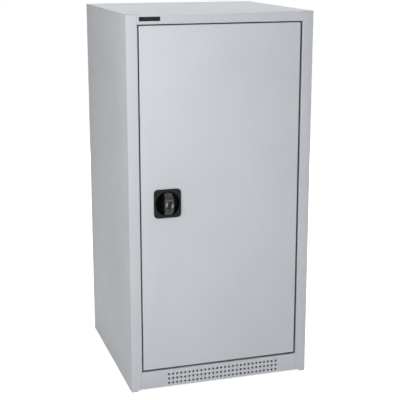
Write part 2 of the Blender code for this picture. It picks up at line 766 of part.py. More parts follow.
def make_escutcheon(body):
    """Escutcheon moulded with its round dish and the bearing hole for the spindle."""
    half_width, half_height = ESCUTCHEON_WIDTH / 2, ESCUTCHEON_HEIGHT / 2
    mouth = DISH_DIAMETER / 2
    foot = mouth - DISH_TAPER
    sleeve = mouth + CUP_WALL
    hole = SPINDLE_DIAMETER / 2 + SEAT_GAP

    def plate(inset):
        return lambda t: rounded_reach(t, half_width - inset, half_height - inset, ESCUTCHEON_CORNER - inset)

    def disc(radius):
        return lambda t: radius

    front = -ESCUTCHEON_PROUD
    edge = ESCUTCHEON_EDGE
    soft = edge * (1 - math.sqrt(0.5))
    stations = [
        (plate(0), -SEAT_GAP),
        (plate(0), front + edge),
        (plate(soft), front + soft),
        (plate(edge), front),
        (disc(mouth + edge / 2), front),
        (disc(mouth), front + edge / 2),
        (disc(foot), DISH_DEPTH - DISH_FILLET),
        (disc(foot - DISH_FILLET * (1 - math.sqrt(0.5))), DISH_DEPTH - DISH_FILLET * (1 - math.sqrt(0.5))),
        (disc(foot - DISH_FILLET), DISH_DEPTH),
        (disc(hole), DISH_DEPTH),
        (disc(hole), CUP_BACK),
        (disc(sleeve), CUP_BACK),
        (disc(sleeve), -SEAT_GAP),
    ]
    loops = [lock_loop(reach, y) for reach, y in stations]
    piece("lock_escutcheon", loft(loops, ring=True), "black_plastic", body)


def grip_levels(end):
    """Places along the grip's flank from one end to the other: the falls, the land's ends and the waist."""
    half = [end + (GRIP_LAND - end) * i / GRIP_STEPS for i in range(1, GRIP_STEPS + 1)]
    return half + [0] + [-v for v in reversed(half)]


def grip_fall(v, end):
    """How far the back of the grip lies below its land: a curve that runs on straight past the flanks."""
    share = max(abs(v) - GRIP_LAND, 0) / (end - GRIP_LAND)
    if share <= 1:
        return GRIP_FALL * share * share
    return GRIP_FALL * (1 + (share - 1) * (2 - 1 / GRIP_STEPS))


def grip_loop(reach, inset, y, falls):
    """One loop round the grip: flanks that swell round the barrel, between ends that follow the dish."""
    radius = reach - inset
    half = GRIP_WIDTH / 2 - inset
    swell = (GRIP_WAIST - GRIP_WIDTH) / 2
    corner = math.asin(half / radius)
    end = radius * math.cos(corner)
    points = []
    for i in range(GRIP_END_STEPS + 1):
        turn = corner * (2 * i / GRIP_END_STEPS - 1)
        points.append((-radius * math.sin(turn), radius * math.cos(turn)))
    for v in grip_levels(end):
        points.append((-half - swell * math.cos(math.pi * v / (2 * end)), v))
    points += [(-u, -v) for u, v in points]
    depth = [y + (grip_fall(v, end) if falls else 0) for _, v in points]
    return [placed("Y", d, LOCK.x + u, LOCK.z + v) for d, (u, v) in zip(depth, points)]


def grip_bands():
    """Point numbers of the faces across the grip's back: both ends and the strips between its flanks."""
    turn = GRIP_END_STEPS + 2 * GRIP_STEPS + 2
    top, bottom = list(range(GRIP_END_STEPS + 1)), list(range(turn, turn + GRIP_END_STEPS + 1))
    left = list(range(GRIP_END_STEPS, turn + 1))
    right = [0] + list(range(2 * turn - 1, turn + GRIP_END_STEPS - 1, -1))
    strips = [(a, b, d, c) for a, b, c, d in zip(right, left, right[1:], left[1:])]
    return [top, bottom] + strips


def make_handle(body):
    """Turn handle: moulded grip, key barrel, spindle, pinion and the ring that keeps the spindle in."""
    axis = (LOCK.x, LOCK.z)
    soft = GRIP_EDGE * (1 - math.sqrt(0.5))
    mouth = DISH_DIAMETER / 2 - GRIP_DISH_GAP
    loops = [
        grip_loop(mouth - DISH_TAPER - DISH_FILLET, 0, DISH_DEPTH - SEAT_GAP, False),
        grip_loop(mouth - DISH_TAPER, 0, DISH_DEPTH - DISH_FILLET, False),
        grip_loop(mouth, 0, -ESCUTCHEON_PROUD, False),
        grip_loop(mouth, GRIP_DRAFT, GRIP_EDGE - GRIP_PROUD, True),
        grip_loop(mouth, GRIP_DRAFT + soft, soft - GRIP_PROUD, True),
        grip_loop(mouth, GRIP_DRAFT + GRIP_EDGE, -GRIP_PROUD, True),
    ]
    grip = piece("handle_grip", loft(loops, bands=grip_bands()), "black_plastic", body)
    socket = BARREL_DIAMETER / 2 + SEAT_GAP
    barrel_end = BARREL_LENGTH - GRIP_PROUD
    bore = cylinder("Y", axis, socket, -GRIP_PROUD - SHEET, barrel_end + SEAT_GAP)
    spindle_end = DISH_DEPTH - SPINDLE_GRIP
    seat = cylinder("Y", axis, SPINDLE_DIAMETER / 2 + SEAT_GAP, spindle_end - SEAT_GAP, DISH_DEPTH + SHEET)
    cut(grip, bore, seat)

    plug_bore = PLUG_DIAMETER / 2 + SEAT_GAP
    bezel = -GRIP_PROUD - SEAT_GAP
    barrel = [
        (plug_bore, barrel_end),
        (BARREL_DIAMETER / 2, barrel_end),
        (BARREL_DIAMETER / 2, bezel),
        (BARREL_DIAMETER / 2 + BARREL_BEZEL, bezel),
        (BARREL_DIAMETER / 2 + BARREL_BEZEL / 2, -HANDLE_PROUD),
        (plug_bore, -HANDLE_PROUD),
    ]
    piece("lock_barrel", turned("Y", axis, barrel, ring=True), "nickel", body)

    make_spindle(body, spindle_end)
    pinion = [(LOCK.x + u, LOCK.z + v) for u, v in gear_outline()]
    gear = piece("drive_pinion", prism(pinion, "Y", ROD_FRONT, ROD_BACK), "zinc_steel", body)
    hole = SPINDLE_SQUARE / 2 + SEAT_GAP
    low = (LOCK.x - hole, ROD_FRONT - SHEET, LOCK.z - hole)
    cut(gear, box(low, (LOCK.x + hole, ROD_BACK + SHEET, LOCK.z + hole)))

    near, far = COVER_BACK + SEAT_GAP, COVER_BACK + SEAT_GAP + CLIP_RING_THICKNESS
    inner, outer = SPINDLE_TAIL / 2 + SEAT_GAP, CLIP_RING_DIAMETER / 2
    ring = [(inner, near), (outer, near), (outer, far), (inner, far)]
    piece("spindle_retaining_ring", turned("Y", axis, ring, ring=True), "zinc_steel", body)


def make_spindle(body, start):
    """Steel spindle: round in the bearing, square in the pinion, with a round tail through the cover."""
    round_part = SPINDLE_DIAMETER / 2
    square_half = SPINDLE_SQUARE / 2
    tail = SPINDLE_TAIL / 2
    shoulder = (CASE_FLOOR + ROD_FRONT) / 2
    end = COVER_BACK + 2 * SEAT_GAP + CLIP_RING_THICKNESS

    def square(turn):
        return min(rounded_reach(turn, square_half, square_half, SPINDLE_CORNER), round_part)

    stations = [
        (lambda t: round_part, start),
        (lambda t: round_part, shoulder),
        (square, shoulder),
        (square, ROD_BACK),
        (lambda t: tail, ROD_BACK),
        (lambda t: tail, end),
    ]
    loops = [lock_loop(reach, y, ROUND_SIDES) for reach, y in stations]
    piece("handle_spindle", loft(loops), "zinc_steel", body)


def make_key_plug(body):
    """Plug of the key barrel with its keyway."""
    axis = (LOCK.x, LOCK.z)
    face = SEAT_GAP - HANDLE_PROUD
    plug = cylinder("Y", axis, PLUG_DIAMETER / 2, face, BARREL_LENGTH - GRIP_PROUD - SEAT_GAP)
    obj = piece("key_plug", plug, "nickel", body)
    low = (LOCK.x - KEYWAY_WIDTH / 2, face - SHEET, LOCK.z - KEYWAY_HEIGHT / 2)
    cut(obj, box(low, (LOCK.x + KEYWAY_WIDTH / 2, face + KEYWAY_DEPTH, LOCK.z + KEYWAY_HEIGHT / 2)))


def involute(radius, base):
    """Involute angle at a radius outside the base circle."""
    pressure = math.acos(min(1, base / radius))
    return math.tan(pressure) - pressure


def gear_outline():
    """Involute pinion about its own centre, with one tooth on each side towards the racks."""
    base = PITCH_RADIUS * math.cos(PRESSURE_ANGLE)
    root, tip = PITCH_RADIUS - DEDENDUM, PITCH_RADIUS + ADDENDUM
    half_pitch = (math.pi * GEAR_MODULE / 2 - BACKLASH) / (2 * PITCH_RADIUS)
    radii = [root, base] + [base + (tip - base) * i / 4 for i in range(1, 5)]
    flank = []
    for radius in radii:
        swing = involute(max(radius, base), base)
        flank.append((radius, half_pitch + involute(PITCH_RADIUS, base) - swing))
    points = []
    for tooth in range(PINION_TEETH):
        middle = 2 * math.pi * tooth / PINION_TEETH
        rising = [(radius, middle - half) for radius, half in flank]
        falling = [(radius, middle + half) for radius, half in reversed(flank)]
        points += [(r * math.cos(t), r * math.sin(t)) for r, t in rising + falling]
    return points


def rod_outline(length):
    """Upper rod seen from the front, about the lock axis: rack beside the pinion, tapered tip at the end."""
    pitch = math.pi * GEAR_MODULE
    bottom, top = -ROD_TRAVEL - RACK_LEAD, RACK_LEAD
    half = (pitch / 2 - BACKLASH) / 2
    slope = math.tan(PRESSURE_ANGLE)
    root, tip = -PITCH_RADIUS - DEDENDUM, -PITCH_RADIUS + ADDENDUM
    points = [(root, bottom)]
    tooth = math.ceil(bottom / pitch)
    while (tooth + 1) * pitch < top:
        middle = (tooth + 0.5) * pitch
        wide, narrow = half + DEDENDUM * slope, half - ADDENDUM * slope
        points += [(root, middle - wide), (tip, middle - narrow)]
        points += [(tip, middle + narrow), (root, middle + wide)]
        tooth += 1
    taper = (ROD_WIDTH - ROD_TIP_WIDTH) / 2
    points += [
        (root, length - ROD_TIP_LENGTH),
        (root - taper, length),
        (root - ROD_WIDTH + taper, length),
        (root - ROD_WIDTH, length - ROD_TIP_LENGTH),
        (root - ROD_WIDTH, bottom),
    ]
    return points


def make_rods(upper_body, lower_body):
    """Upper and lower rod bolts; the lower one is the upper one turned half round about the lock axis."""
    upper = [(LOCK.x + u, LOCK.z + v) for u, v in rod_outline(DOOR_TOP - ROD_RECESS - LOCK.z)]
    lower = [(LOCK.x - u, LOCK.z - v) for u, v in rod_outline(LOCK.z - DOOR_BOTTOM - ROD_RECESS)]
    piece("upper_lock_rod", prism(upper, "Y", ROD_FRONT, ROD_BACK), "zinc_steel", upper_body)
    piece("lower_lock_rod", prism(lower, "Y", ROD_FRONT, ROD_BACK), "zinc_steel", lower_body)


def make_lock_case(body):
    """Gear case behind the dish, its cover, and the guide that steadies each rod."""
    left, right = LOCK.x - CASE_HALF_WIDTH, LOCK.x + CASE_HALF_WIDTH
    reach = SHEET + CASE_FLANGE
    channel = folded(
        [
            (left - reach, CASE_RIM),
            (left, CASE_RIM),
            (left, CASE_FLOOR),
            (right, CASE_FLOOR),
            (right, CASE_RIM),
            (right + reach, CASE_RIM),
        ]
    )
    low, high = LOCK.z - CASE_HEIGHT / 2, LOCK.z + CASE_HEIGHT / 2
    case = piece("lock_case", prism(channel, "Z", low, high), "zinc_steel", body)
    hole = SPINDLE_DIAMETER / 2 + 2 * SEAT_GAP
    cut(case, cylinder("Y", (LOCK.x, LOCK.z), hole, CASE_FLOOR - 2 * SHEET, CASE_FLOOR + SHEET))

    near = CASE_RIM + SEAT_GAP
    plate = box((left - reach, near, low), (right + reach, COVER_BACK, high))
    cover = piece("lock_case_cover", plate, "zinc_steel", body)
    hole = SPINDLE_TAIL / 2 + SEAT_GAP
    cut(cover, cylinder("Y", (LOCK.x, LOCK.z), hole, near - SHEET, COVER_BACK + SHEET))

    half = ROD_WIDTH / 2 + GUIDE_WALL
    slide_x, slide_y = ROD_WIDTH / 2 + SEAT_GAP, ROD_THICKNESS / 2 + SEAT_GAP
    ends = (
        ("upper_rod_guide", UPPER_ROD_X, DOOR_TOP - GUIDE_END_GAP - GUIDE_HEIGHT),
        ("lower_rod_guide", LOWER_ROD_X, DOOR_BOTTOM + GUIDE_END_GAP),
    )
    for name, x, z in ends:
        back = ROD_BACK + SHEET
        block = box((x - half, SHEET + SEAT_GAP, z), (x + half, back, z + GUIDE_HEIGHT))
        guide = piece(name, block, "nylon", body)
        low = (x - slide_x, ROD_MIDDLE - slide_y, z - SHEET)
        cut(guide, box(low, (x + slide_x, ROD_MIDDLE + slide_y, z + GUIDE_HEIGHT + SHEET)))


def build():
    """Builds the whole cabinet."""
    clear_scene()
    root = pivot_empty("cabinet_origin", (0, 0, 0))
    root.location = (0, FRONT_Y, 0)
    carcass = pivot_empty("carcass_axes", (0, 0, 0), root)
    door = pivot_empty("door_pivot_axis", PIVOT, carcass)
    handle = pivot_empty("handle_axis", LOCK, door)
    key = pivot_empty("key_axis", LOCK, handle)
    upper_rod = pivot_empty("upper_rod_line", (UPPER_ROD_X, ROD_MIDDLE, LOCK.z), door)
    lower_rod = pivot_empty("lower_rod_line", (LOWER_ROD_X, ROD_MIDDLE, LOCK.z), door)
    make_sides(carcass)
    make_back(carcass)
    make_lid(carcass)
    make_plinth(carcass)
    make_base(carcass)
    make_rails(carcass)
    make_shelves(carcass)
    make_buffers(carcass)
    make_pivots(carcass, door)
    make_door(door)
    make_escutcheon(door)
    make_lock_case(door)
    make_handle(handle)
    make_key_plug(key)
    make_rods(upper_rod, lower_rod)


build()
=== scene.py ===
"""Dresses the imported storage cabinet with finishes, small fasteners and a bare plate, in a plain studio."""

import logging
import math
from dataclasses import dataclass
from enum import Enum
from typing import ClassVar, Iterable, Sequence

import bmesh
import bpy
from mathutils import Euler, Matrix, Vector


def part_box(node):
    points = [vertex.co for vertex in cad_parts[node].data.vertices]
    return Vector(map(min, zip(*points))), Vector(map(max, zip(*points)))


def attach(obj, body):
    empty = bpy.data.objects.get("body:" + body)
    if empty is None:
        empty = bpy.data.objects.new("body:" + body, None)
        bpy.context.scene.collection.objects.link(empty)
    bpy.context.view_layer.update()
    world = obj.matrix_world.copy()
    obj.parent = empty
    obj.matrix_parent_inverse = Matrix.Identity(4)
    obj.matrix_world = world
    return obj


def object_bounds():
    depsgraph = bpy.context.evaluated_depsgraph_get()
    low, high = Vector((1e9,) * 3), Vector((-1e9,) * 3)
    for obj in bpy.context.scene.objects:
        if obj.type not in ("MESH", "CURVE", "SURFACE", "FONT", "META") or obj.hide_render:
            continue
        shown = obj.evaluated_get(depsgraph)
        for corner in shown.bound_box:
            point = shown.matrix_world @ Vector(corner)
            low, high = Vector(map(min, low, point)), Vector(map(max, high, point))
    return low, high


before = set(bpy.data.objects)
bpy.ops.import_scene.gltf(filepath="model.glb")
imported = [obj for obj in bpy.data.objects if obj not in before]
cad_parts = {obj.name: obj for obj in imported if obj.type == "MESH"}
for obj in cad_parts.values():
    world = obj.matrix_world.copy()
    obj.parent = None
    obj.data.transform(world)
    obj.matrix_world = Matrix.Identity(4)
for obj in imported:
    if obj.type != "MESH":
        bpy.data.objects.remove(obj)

CAD_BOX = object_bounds()
LOG = logging.getLogger("cabinet")

FRONT = Vector((0, -1, 0))
REAR = Vector((0, 1, 0))
UP = Vector((0, 0, 1))
WHITE = (1, 1, 1, 1)
MM = 0.001

# Blender's noise keeps to the middle of its full band
NOISE_BAND = (0.3, 0.7)
FULL_BAND = (0.0, 1.0)
# Inputs that map one range onto another
RANGE = ("From Min", "From Max", "To Min", "To Max")
# Rays that feel for edges and gaps at each spot
FEELERS = {"samples": 4}

Tree = bpy.types.NodeTree
Socket = bpy.types.NodeSocket
Loop = list[Vector]
Profile = tuple[tuple[float, float], ...]


class Body(str, Enum):
    """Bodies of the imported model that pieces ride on."""

    CARCASS = "carcass"
    DOOR = "door"
    KEY = "key"


class Slot(str, Enum):
    """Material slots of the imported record."""

    STEEL = "powder_coated_steel"
    ZINC = "zinc_plated_steel"
    PLASTIC = "black_plastic"


def linear(hex_colour: str) -> tuple[float, float, float, float]:
    """Turns a written colour into the linear colour that Blender's sockets take.

    Args:
        hex_colour: sRGB colour as "#RRGGBB".

    Returns:
        Linear red, green, blue and an alpha of 1.
    """
    channels = [int(hex_colour[i : i + 2], 16) / 255 for i in (1, 3, 5)]
    red, green, blue = [c / 12.92 if c <= 0.04045 else ((c + 0.055) / 1.055) ** 2.4 for c in channels]
    return red, green, blue, 1.0


def add(
    tree: Tree,
    kind: str,
    settings: dict[str, object] | None = None,
    inputs: dict[str | int, object] | None = None,
    links: dict[str | int, Socket] | None = None,
) -> bpy.types.Node:
    """Adds one node to a tree with its settings, input values and links.

    Args:
        tree: Node tree that gets the node.
        kind: Blender's type name of the node.
        settings: Properties of the node itself.
        inputs: Values of input sockets, by name or number.
        links: Sockets that feed input sockets, by name or number.

    Returns:
        The new node.
    """
    node = tree.nodes.new(kind)
    for key, value in (settings or {}).items():
        setattr(node, key, value)
    for key, value in (inputs or {}).items():
        node.inputs[key].default_value = value
    for key, socket in (links or {}).items():
        tree.links.new(socket, node.inputs[key])
    return node


@dataclass(frozen=True)
class Layer:
    """A colour that lies over the colours below it, as far as a pattern calls for it.

    Its share rises from nothing to its most while the pattern goes through the band.
    """

    pattern: Socket
    colour: str
    most: float = 1.0
    band: tuple[float, float] = NOISE_BAND


@dataclass(frozen=True)
class Pattern:
    """What a finish varies over a surface: layers of colour, and patterns for roughness and relief."""

    layers: tuple[Layer, ...]
    sheen: Socket
    relief: Socket


@dataclass(frozen=True)
class Finish:
    """A procedural surface finish, with the steps that all finishes share.

    Pattern sizes are in millimetres on the object, because its nodes' coordinates are in metres.

    Attributes:
        name: Name of the material.
        colour: Colour that the layers lie on.
        second: Colour of the lowest layer.
        roughness: Least and greatest roughness.
        edge: Colour of worn edges.
        edge_share: Share of that colour at an edge.
        relief_mm: Depth of the relief.
        edge_mm: Radius to which edges are rounded off.
        gloss: Strength of the reflection, 0.5 for what the IOR gives.
        sheen_band: Band of the pattern that makes the roughness.
    """

    name: str
    colour: str
    second: str
    roughness: tuple[float, float]
    edge: str
    edge_share: float
    relief_mm: float
    edge_mm: float = 0.8
    gloss: float = 0.5
    sheen_band: tuple[float, float] = NOISE_BAND

    # Cosine between the rounded and the flat normal where an edge begins and where it is full
    edge_band: ClassVar[tuple[float, float]] = (0.99, 0.80)
    # Shader values that are typical of the material and the same all over
    typical: ClassVar[dict[str, object]] = {}

    def build(self) -> bpy.types.Material:
        """Makes the material from its pattern, with edges rounded off for the light.

        Returns:
            The finished material.
        """
        material = bpy.data.materials.new(self.name)
        material.use_nodes = True
        tree = material.node_tree
        shader = tree.nodes["Principled BSDF"]
        for name, value in {"Specular IOR Level": self.gloss, **self.typical}.items():
            shader.inputs[name].default_value = value
        inputs = {"Radius": self.edge_mm * MM}
        rounded = add(tree, "ShaderNodeBevel", FEELERS, inputs).outputs[0]
        pattern = self.pattern(tree, self.worn_edge(tree, rounded))
        inputs = dict(zip(RANGE, self.sheen_band + self.roughness))
        sheen = add(tree, "ShaderNodeMapRange", inputs=inputs, links={"Value": pattern.sheen}).outputs[0]
        inputs = {"Strength": 1.0, "Distance": self.relief_mm * MM}
        links = {"Height": pattern.relief, "Normal": rounded}
        normal = add(tree, "ShaderNodeBump", inputs=inputs, links=links).outputs[0]
        colour = self.layered(tree, pattern.layers)
        for name, socket in (("Base Color", colour), ("Roughness", sheen), ("Normal", normal)):
            tree.links.new(socket, shader.inputs[name])
        return material

    def pattern(self, tree: Tree, worn: Layer) -> Pattern:
        """Adds the finish's own nodes; each finish has its own."""
        raise NotImplementedError

    def layered(self, tree: Tree, layers: Sequence[Layer]) -> Socket | None:
        """Lays colours over the finish's first colour.

        Args:
            tree: Node tree of the material.
            layers: Layers from the lowest to the highest.

        Returns:
            The colour socket of all layers together.
        """
        colour = None
        for layer in layers:
            inputs = dict(zip(RANGE, layer.band + (0.0, layer.most)))
            share = add(tree, "ShaderNodeMapRange", inputs=inputs, links={"Value": layer.pattern}).outputs[0]
            # A mix of colours takes them at 6 and 7 and gives its result at 2
            inputs = {6: linear(self.colour), 7: linear(layer.colour)}
            links = {0: share, 6: colour} if colour else {0: share}
            colour = add(tree, "ShaderNodeMix", {"data_type": "RGBA"}, inputs, links).outputs[2]
        return colour

    def worn_edge(self, tree: Tree, rounded: Socket) -> Layer:
        """Finds the piece's edges, where the rounded normal leaves the flat one.

        Args:
            tree: Node tree of the material.
            rounded: Rounded normal.

        Returns:
            The layer of the edges' colour.
        """
        flat = add(tree, "ShaderNodeNewGeometry").outputs["Normal"]
        links = {0: rounded, 1: flat}
        cosine = add(tree, "ShaderNodeVectorMath", {"operation": "DOT_PRODUCT"}, links=links).outputs["Value"]
        return Layer(cosine, self.edge, self.edge_share, self.edge_band)

    def grain(
        self, tree: Tree, size_mm: float, detail: float = 2.0, stretch: tuple[float, float, float] = (1, 1, 1)
    ) -> Socket:
        """Gives soft noise of a real size on the object.

        Args:
            tree: Node tree of the material.
            size_mm: Size of a blotch in millimetres.
            detail: Number of finer layers.
            stretch: Factor on each axis; below 1 draws the blotches out along it.

        Returns:
            The noise value socket, from 0 to 1.
        """
        source = add(tree, "ShaderNodeTexCoord").outputs["Object"]
        place = add(tree, "ShaderNodeMapping", inputs={"Scale": stretch}, links={"Vector": source}).outputs[0]
        inputs = {"Scale": 1 / (size_mm * MM), "Detail": detail}
        return add(tree, "ShaderNodeTexNoise", inputs=inputs, links={"Vector": place}).outputs["Fac"]

    def offset(self, tree: Tree, middle: tuple[float, float, float]) -> Socket:
        """Gives the way from a point to the surface.

        Args:
            tree: Node tree of the material.
            middle: The point, in the object's coordinates.

        Returns:
            The coordinate socket.
        """
        source = add(tree, "ShaderNodeTexCoord").outputs["Object"]
        settings = {"operation": "SUBTRACT"}
        return add(tree, "ShaderNodeVectorMath", settings, {1: middle}, {0: source}).outputs[0]


@dataclass(frozen=True)
class PowderCoat(Finish):
    """Satin powder coat on sheet steel: even grey, faint orange peel, paler edges, painted shade in narrow
    gaps.
    """

    edge: str = "#DFE1E4"
    edge_share: float = 0.30
    relief_mm: float = 0.02
    # Real orange peel repeats at about 1.5 mm; drawn at 3 mm so that it shows
    peel_mm: float = 3.0
    cloud_mm: float = 260.0
    sheen_mm: float = 24.0
    # Powder grains melt into flecks of about 0.5 mm; drawn at 1.4 mm so that they show
    fleck_mm: float = 1.4
    fleck: str = "#ADB0B5"
    fleck_share: float = 0.35
    # How open a spot is within the gap's width where the painted shade begins and where it is darkest
    gap_mm: float = 8.0
    gap_band: tuple[float, float] = (0.60, 0.30)
    # Colour and greatest share of the shade painted into narrow gaps
    gap_shade: str = "#3A3B3D"
    gap_shade_share: float = 0.8

    typical: ClassVar[dict[str, object]] = {"IOR": 1.50}

    def pattern(self, tree: Tree, worn: Layer) -> Pattern:
        """Makes broad clouds, fine flecks and painted shade in narrow gaps in the colour, and orange peel.

        Args:
            tree: Node tree of the material.
            worn: Layer of the edges' colour.

        Returns:
            The finish's pattern.
        """
        # Painted shade: ambient occlusion darkens the colour in narrow gaps
        inputs = {"Distance": self.gap_mm * MM}
        openness = add(tree, "ShaderNodeAmbientOcclusion", FEELERS, inputs).outputs["AO"]
        layers = (
            Layer(self.grain(tree, self.cloud_mm), self.second),
            Layer(self.grain(tree, self.fleck_mm), self.fleck, self.fleck_share),
            worn,
            Layer(openness, self.gap_shade, self.gap_shade_share, self.gap_band),
        )
        return Pattern(layers, self.grain(tree, self.sheen_mm), self.grain(tree, self.peel_mm, detail=1.0))


@dataclass(frozen=True)
class ZincPlate(Finish):
    """Bright zinc on steel: grey-blue metal with a crystal bloom and drawn-out polishing lines."""

    edge: str = "#E6E8EA"
    edge_share: float = 0.35
    relief_mm: float = 0.008
    crystal_mm: float = 6.0
    # Real polishing lines lie about 0.2 mm apart; drawn at 1.2 mm so that they show
    line_mm: float = 1.2
    line_stretch: tuple[float, float, float] = (1, 1, 0.06)

    typical: ClassVar[dict[str, object]] = {"Metallic": 1.0}

    def pattern(self, tree: Tree, worn: Layer) -> Pattern:
        """Makes crystal patches in the colour, and lines in the roughness and relief.

        Args:
            tree: Node tree of the material.
            worn: Layer of the edges' colour.

        Returns:
            The finish's pattern.
        """
        inputs = {"Scale": 1 / (self.crystal_mm * MM)}
        links = {"Vector": add(tree, "ShaderNodeTexCoord").outputs["Object"]}
        crystal = add(tree, "ShaderNodeTexVoronoi", inputs=inputs, links=links).outputs["Color"]
        bloom = add(tree, "ShaderNodeRGBToBW", links={0: crystal}).outputs[0]
        lines = self.grain(tree, self.line_mm, detail=3.0, stretch=self.line_stretch)
        return Pattern((Layer(bloom, self.second, band=FULL_BAND), worn), lines, lines)


@dataclass(frozen=True)
class MouldedNylon(Finish):
    """Black glass-filled nylon, moulded: fine spark-eroded grain, rubbed brighter along the edges."""

    edge: str = "#2A2B2E"
    edge_share: float = 0.45
    relief_mm: float = 0.02
    # Real grain repeats at about 0.2 mm; drawn at 0.7 mm so that it shows
    grain_mm: float = 0.7
    mark_mm: float = 9.0

    typical: ClassVar[dict[str, object]] = {"IOR": 1.50}

    def pattern(self, tree: Tree, worn: Layer) -> Pattern:
        """Makes handling marks in the colour and roughness, and grain in the relief.

        Args:
            tree: Node tree of the material.
            worn: Layer of the edges' colour.

        Returns:
            The finish's pattern.
        """
        marks = self.grain(tree, self.mark_mm, detail=4.0)
        return Pattern((Layer(marks, self.second), worn), marks, self.grain(tree, self.grain_mm))


@dataclass(frozen=True)
class DishedNylon(MouldedNylon):
    """Black nylon of the lock's escutcheon: a grained rim that scatters light, and a smooth dish darkened by
    painted shade.
    """

    edge_share: float = 0.35
    relief_mm: float = 0.06
    grain_share: float = 0.6
    middle: tuple[float, float, float] = (0.0, 0.0, 0.0)
    # Distance from the lock's axis where the rim begins and where the dish, with its painted shade, has ended
    rim_mm: tuple[float, float] = (31.2, 32.4)

    def pattern(self, tree: Tree, worn: Layer) -> Pattern:
        """Makes grain on the rim, painted shade that darkens the dish, and handling marks in the roughness of
        both.

        Args:
            tree: Node tree of the material.
            worn: Layer of the edges' colour.

        Returns:
            The finish's pattern.
        """
        # The lock's axis runs along Y
        inputs, links = {1: (1, 0, 1)}, {0: self.offset(tree, self.middle)}
        across = add(tree, "ShaderNodeVectorMath", {"operation": "MULTIPLY"}, inputs, links).outputs[0]
        reach = add(tree, "ShaderNodeVectorMath", {"operation": "LENGTH"}, links={0: across}).outputs["Value"]
        inner, outer = (distance * MM for distance in self.rim_mm)
        inputs = dict(zip(RANGE, (inner, outer, 0.0, 1.0)))
        rim = add(tree, "ShaderNodeMapRange", inputs=inputs, links={"Value": reach}).outputs[0]
        grain = self.grain(tree, self.grain_mm)
        relief = add(tree, "ShaderNodeMath", {"operation": "MULTIPLY"}, links={0: grain, 1: rim}).outputs[0]
        layers = (
            Layer(grain, self.second, self.grain_share),
            # Painted shade: the dish inside the rim takes the dark second colour
            Layer(reach, self.second, band=(outer, inner)),
            worn,
        )
        return Pattern(layers, self.grain(tree, self.mark_mm, detail=4.0), relief)


@dataclass(frozen=True)
class NickelPlate(Finish):
    """Polished black nickel on the key plug: dark warm metal with fine handling scratches."""

    edge: str = "#F4F2EC"
    edge_share: float = 0.5
    relief_mm: float = 0.003
    # Real scratches are about 0.05 mm wide; drawn at 0.5 mm so that they show
    scratch_mm: float = 0.5
    scratch_stretch: tuple[float, float, float] = (1, 1, 0.1)
    tarnish_mm: float = 5.0

    typical: ClassVar[dict[str, object]] = {"Metallic": 1.0}

    def pattern(self, tree: Tree, worn: Layer) -> Pattern:
        """Makes faint tarnish in the colour, and scratches in the roughness and relief.

        Args:
            tree: Node tree of the material.
            worn: Layer of the edges' colour.

        Returns:
            The finish's pattern.
        """
        scratches = self.grain(tree, self.scratch_mm, detail=3.0, stretch=self.scratch_stretch)
        tarnish = self.grain(tree, self.tarnish_mm)
        return Pattern((Layer(tarnish, self.second), worn), scratches, scratches)


@dataclass(frozen=True)
class TurnedNickel(Finish):
    """Nickel faced on a lathe, with two painted highlight wedges across a face that is painted dark between
    them.
    """

    edge: str = "#6E6B66"
    edge_share: float = 0.25
    relief_mm: float = 0.004
    sheen_band: tuple[float, float] = FULL_BAND
    middle: tuple[float, float, float] = (0.0, 0.0, 0.0)
    # Painted highlight: bright wedges drawn in the colour about the lock's axis, with painted shade between
    # them
    wedges: int = 2
    highlight_lean_deg: float = -14.0
    # Height of the wave about the axis where the painted dark between the painted highlights begins and where
    # it is full
    highlight_band: tuple[float, float] = (0.9, -0.3)
    # Real turning rings lie about 0.1 mm apart; drawn at 0.6 mm so that they show
    ring_mm: float = 0.6
    ring_wobble: float = 0.4
    # Radians that Blender turns its wave by for each unit of its scale
    wave_turn: ClassVar[float] = 20.0

    typical: ClassVar[dict[str, object]] = {"Metallic": 1.0}

    def wave(self, tree: Tree, offset: Socket) -> Socket:
        """Makes a wave that rises once for each painted highlight wedge in a turn about the lock's axis.

        Args:
            tree: Node tree of the material.
            offset: Way from the axis to the surface.

        Returns:
            The wave's value socket, from -1 to 1.
        """
        parts = add(tree, "ShaderNodeSeparateXYZ", links={0: offset}).outputs
        links = {0: parts["Z"], 1: parts["X"]}
        turn = add(tree, "ShaderNodeMath", {"operation": "ARCTAN2"}, links=links).outputs[0]
        inputs = {1: self.wedges, 2: -self.wedges * math.radians(self.highlight_lean_deg)}
        phase = add(tree, "ShaderNodeMath", {"operation": "MULTIPLY_ADD"}, inputs, {0: turn}).outputs[0]
        return add(tree, "ShaderNodeMath", {"operation": "COSINE"}, links={0: phase}).outputs[0]

    def pattern(self, tree: Tree, worn: Layer) -> Pattern:
        """Paints highlight wedges and the dark between them into the colour, and makes turning rings in the
        roughness and relief.

        Args:
            tree: Node tree of the material.
            worn: Layer of the edges' colour.

        Returns:
            The finish's pattern.
        """
        offset = self.offset(tree, self.middle)
        settings = {"wave_type": "RINGS", "rings_direction": "Y"}
        scale = 2 * math.pi / (self.ring_mm * MM * self.wave_turn)
        inputs = {"Scale": scale, "Distortion": self.ring_wobble}
        rings = add(tree, "ShaderNodeTexWave", settings, inputs, {"Vector": offset}).outputs["Fac"]
        # Painted shade between the painted highlight wedges
        dark = Layer(self.wave(tree, offset), self.second, band=self.highlight_band)
        return Pattern((dark, worn), rings, rings)


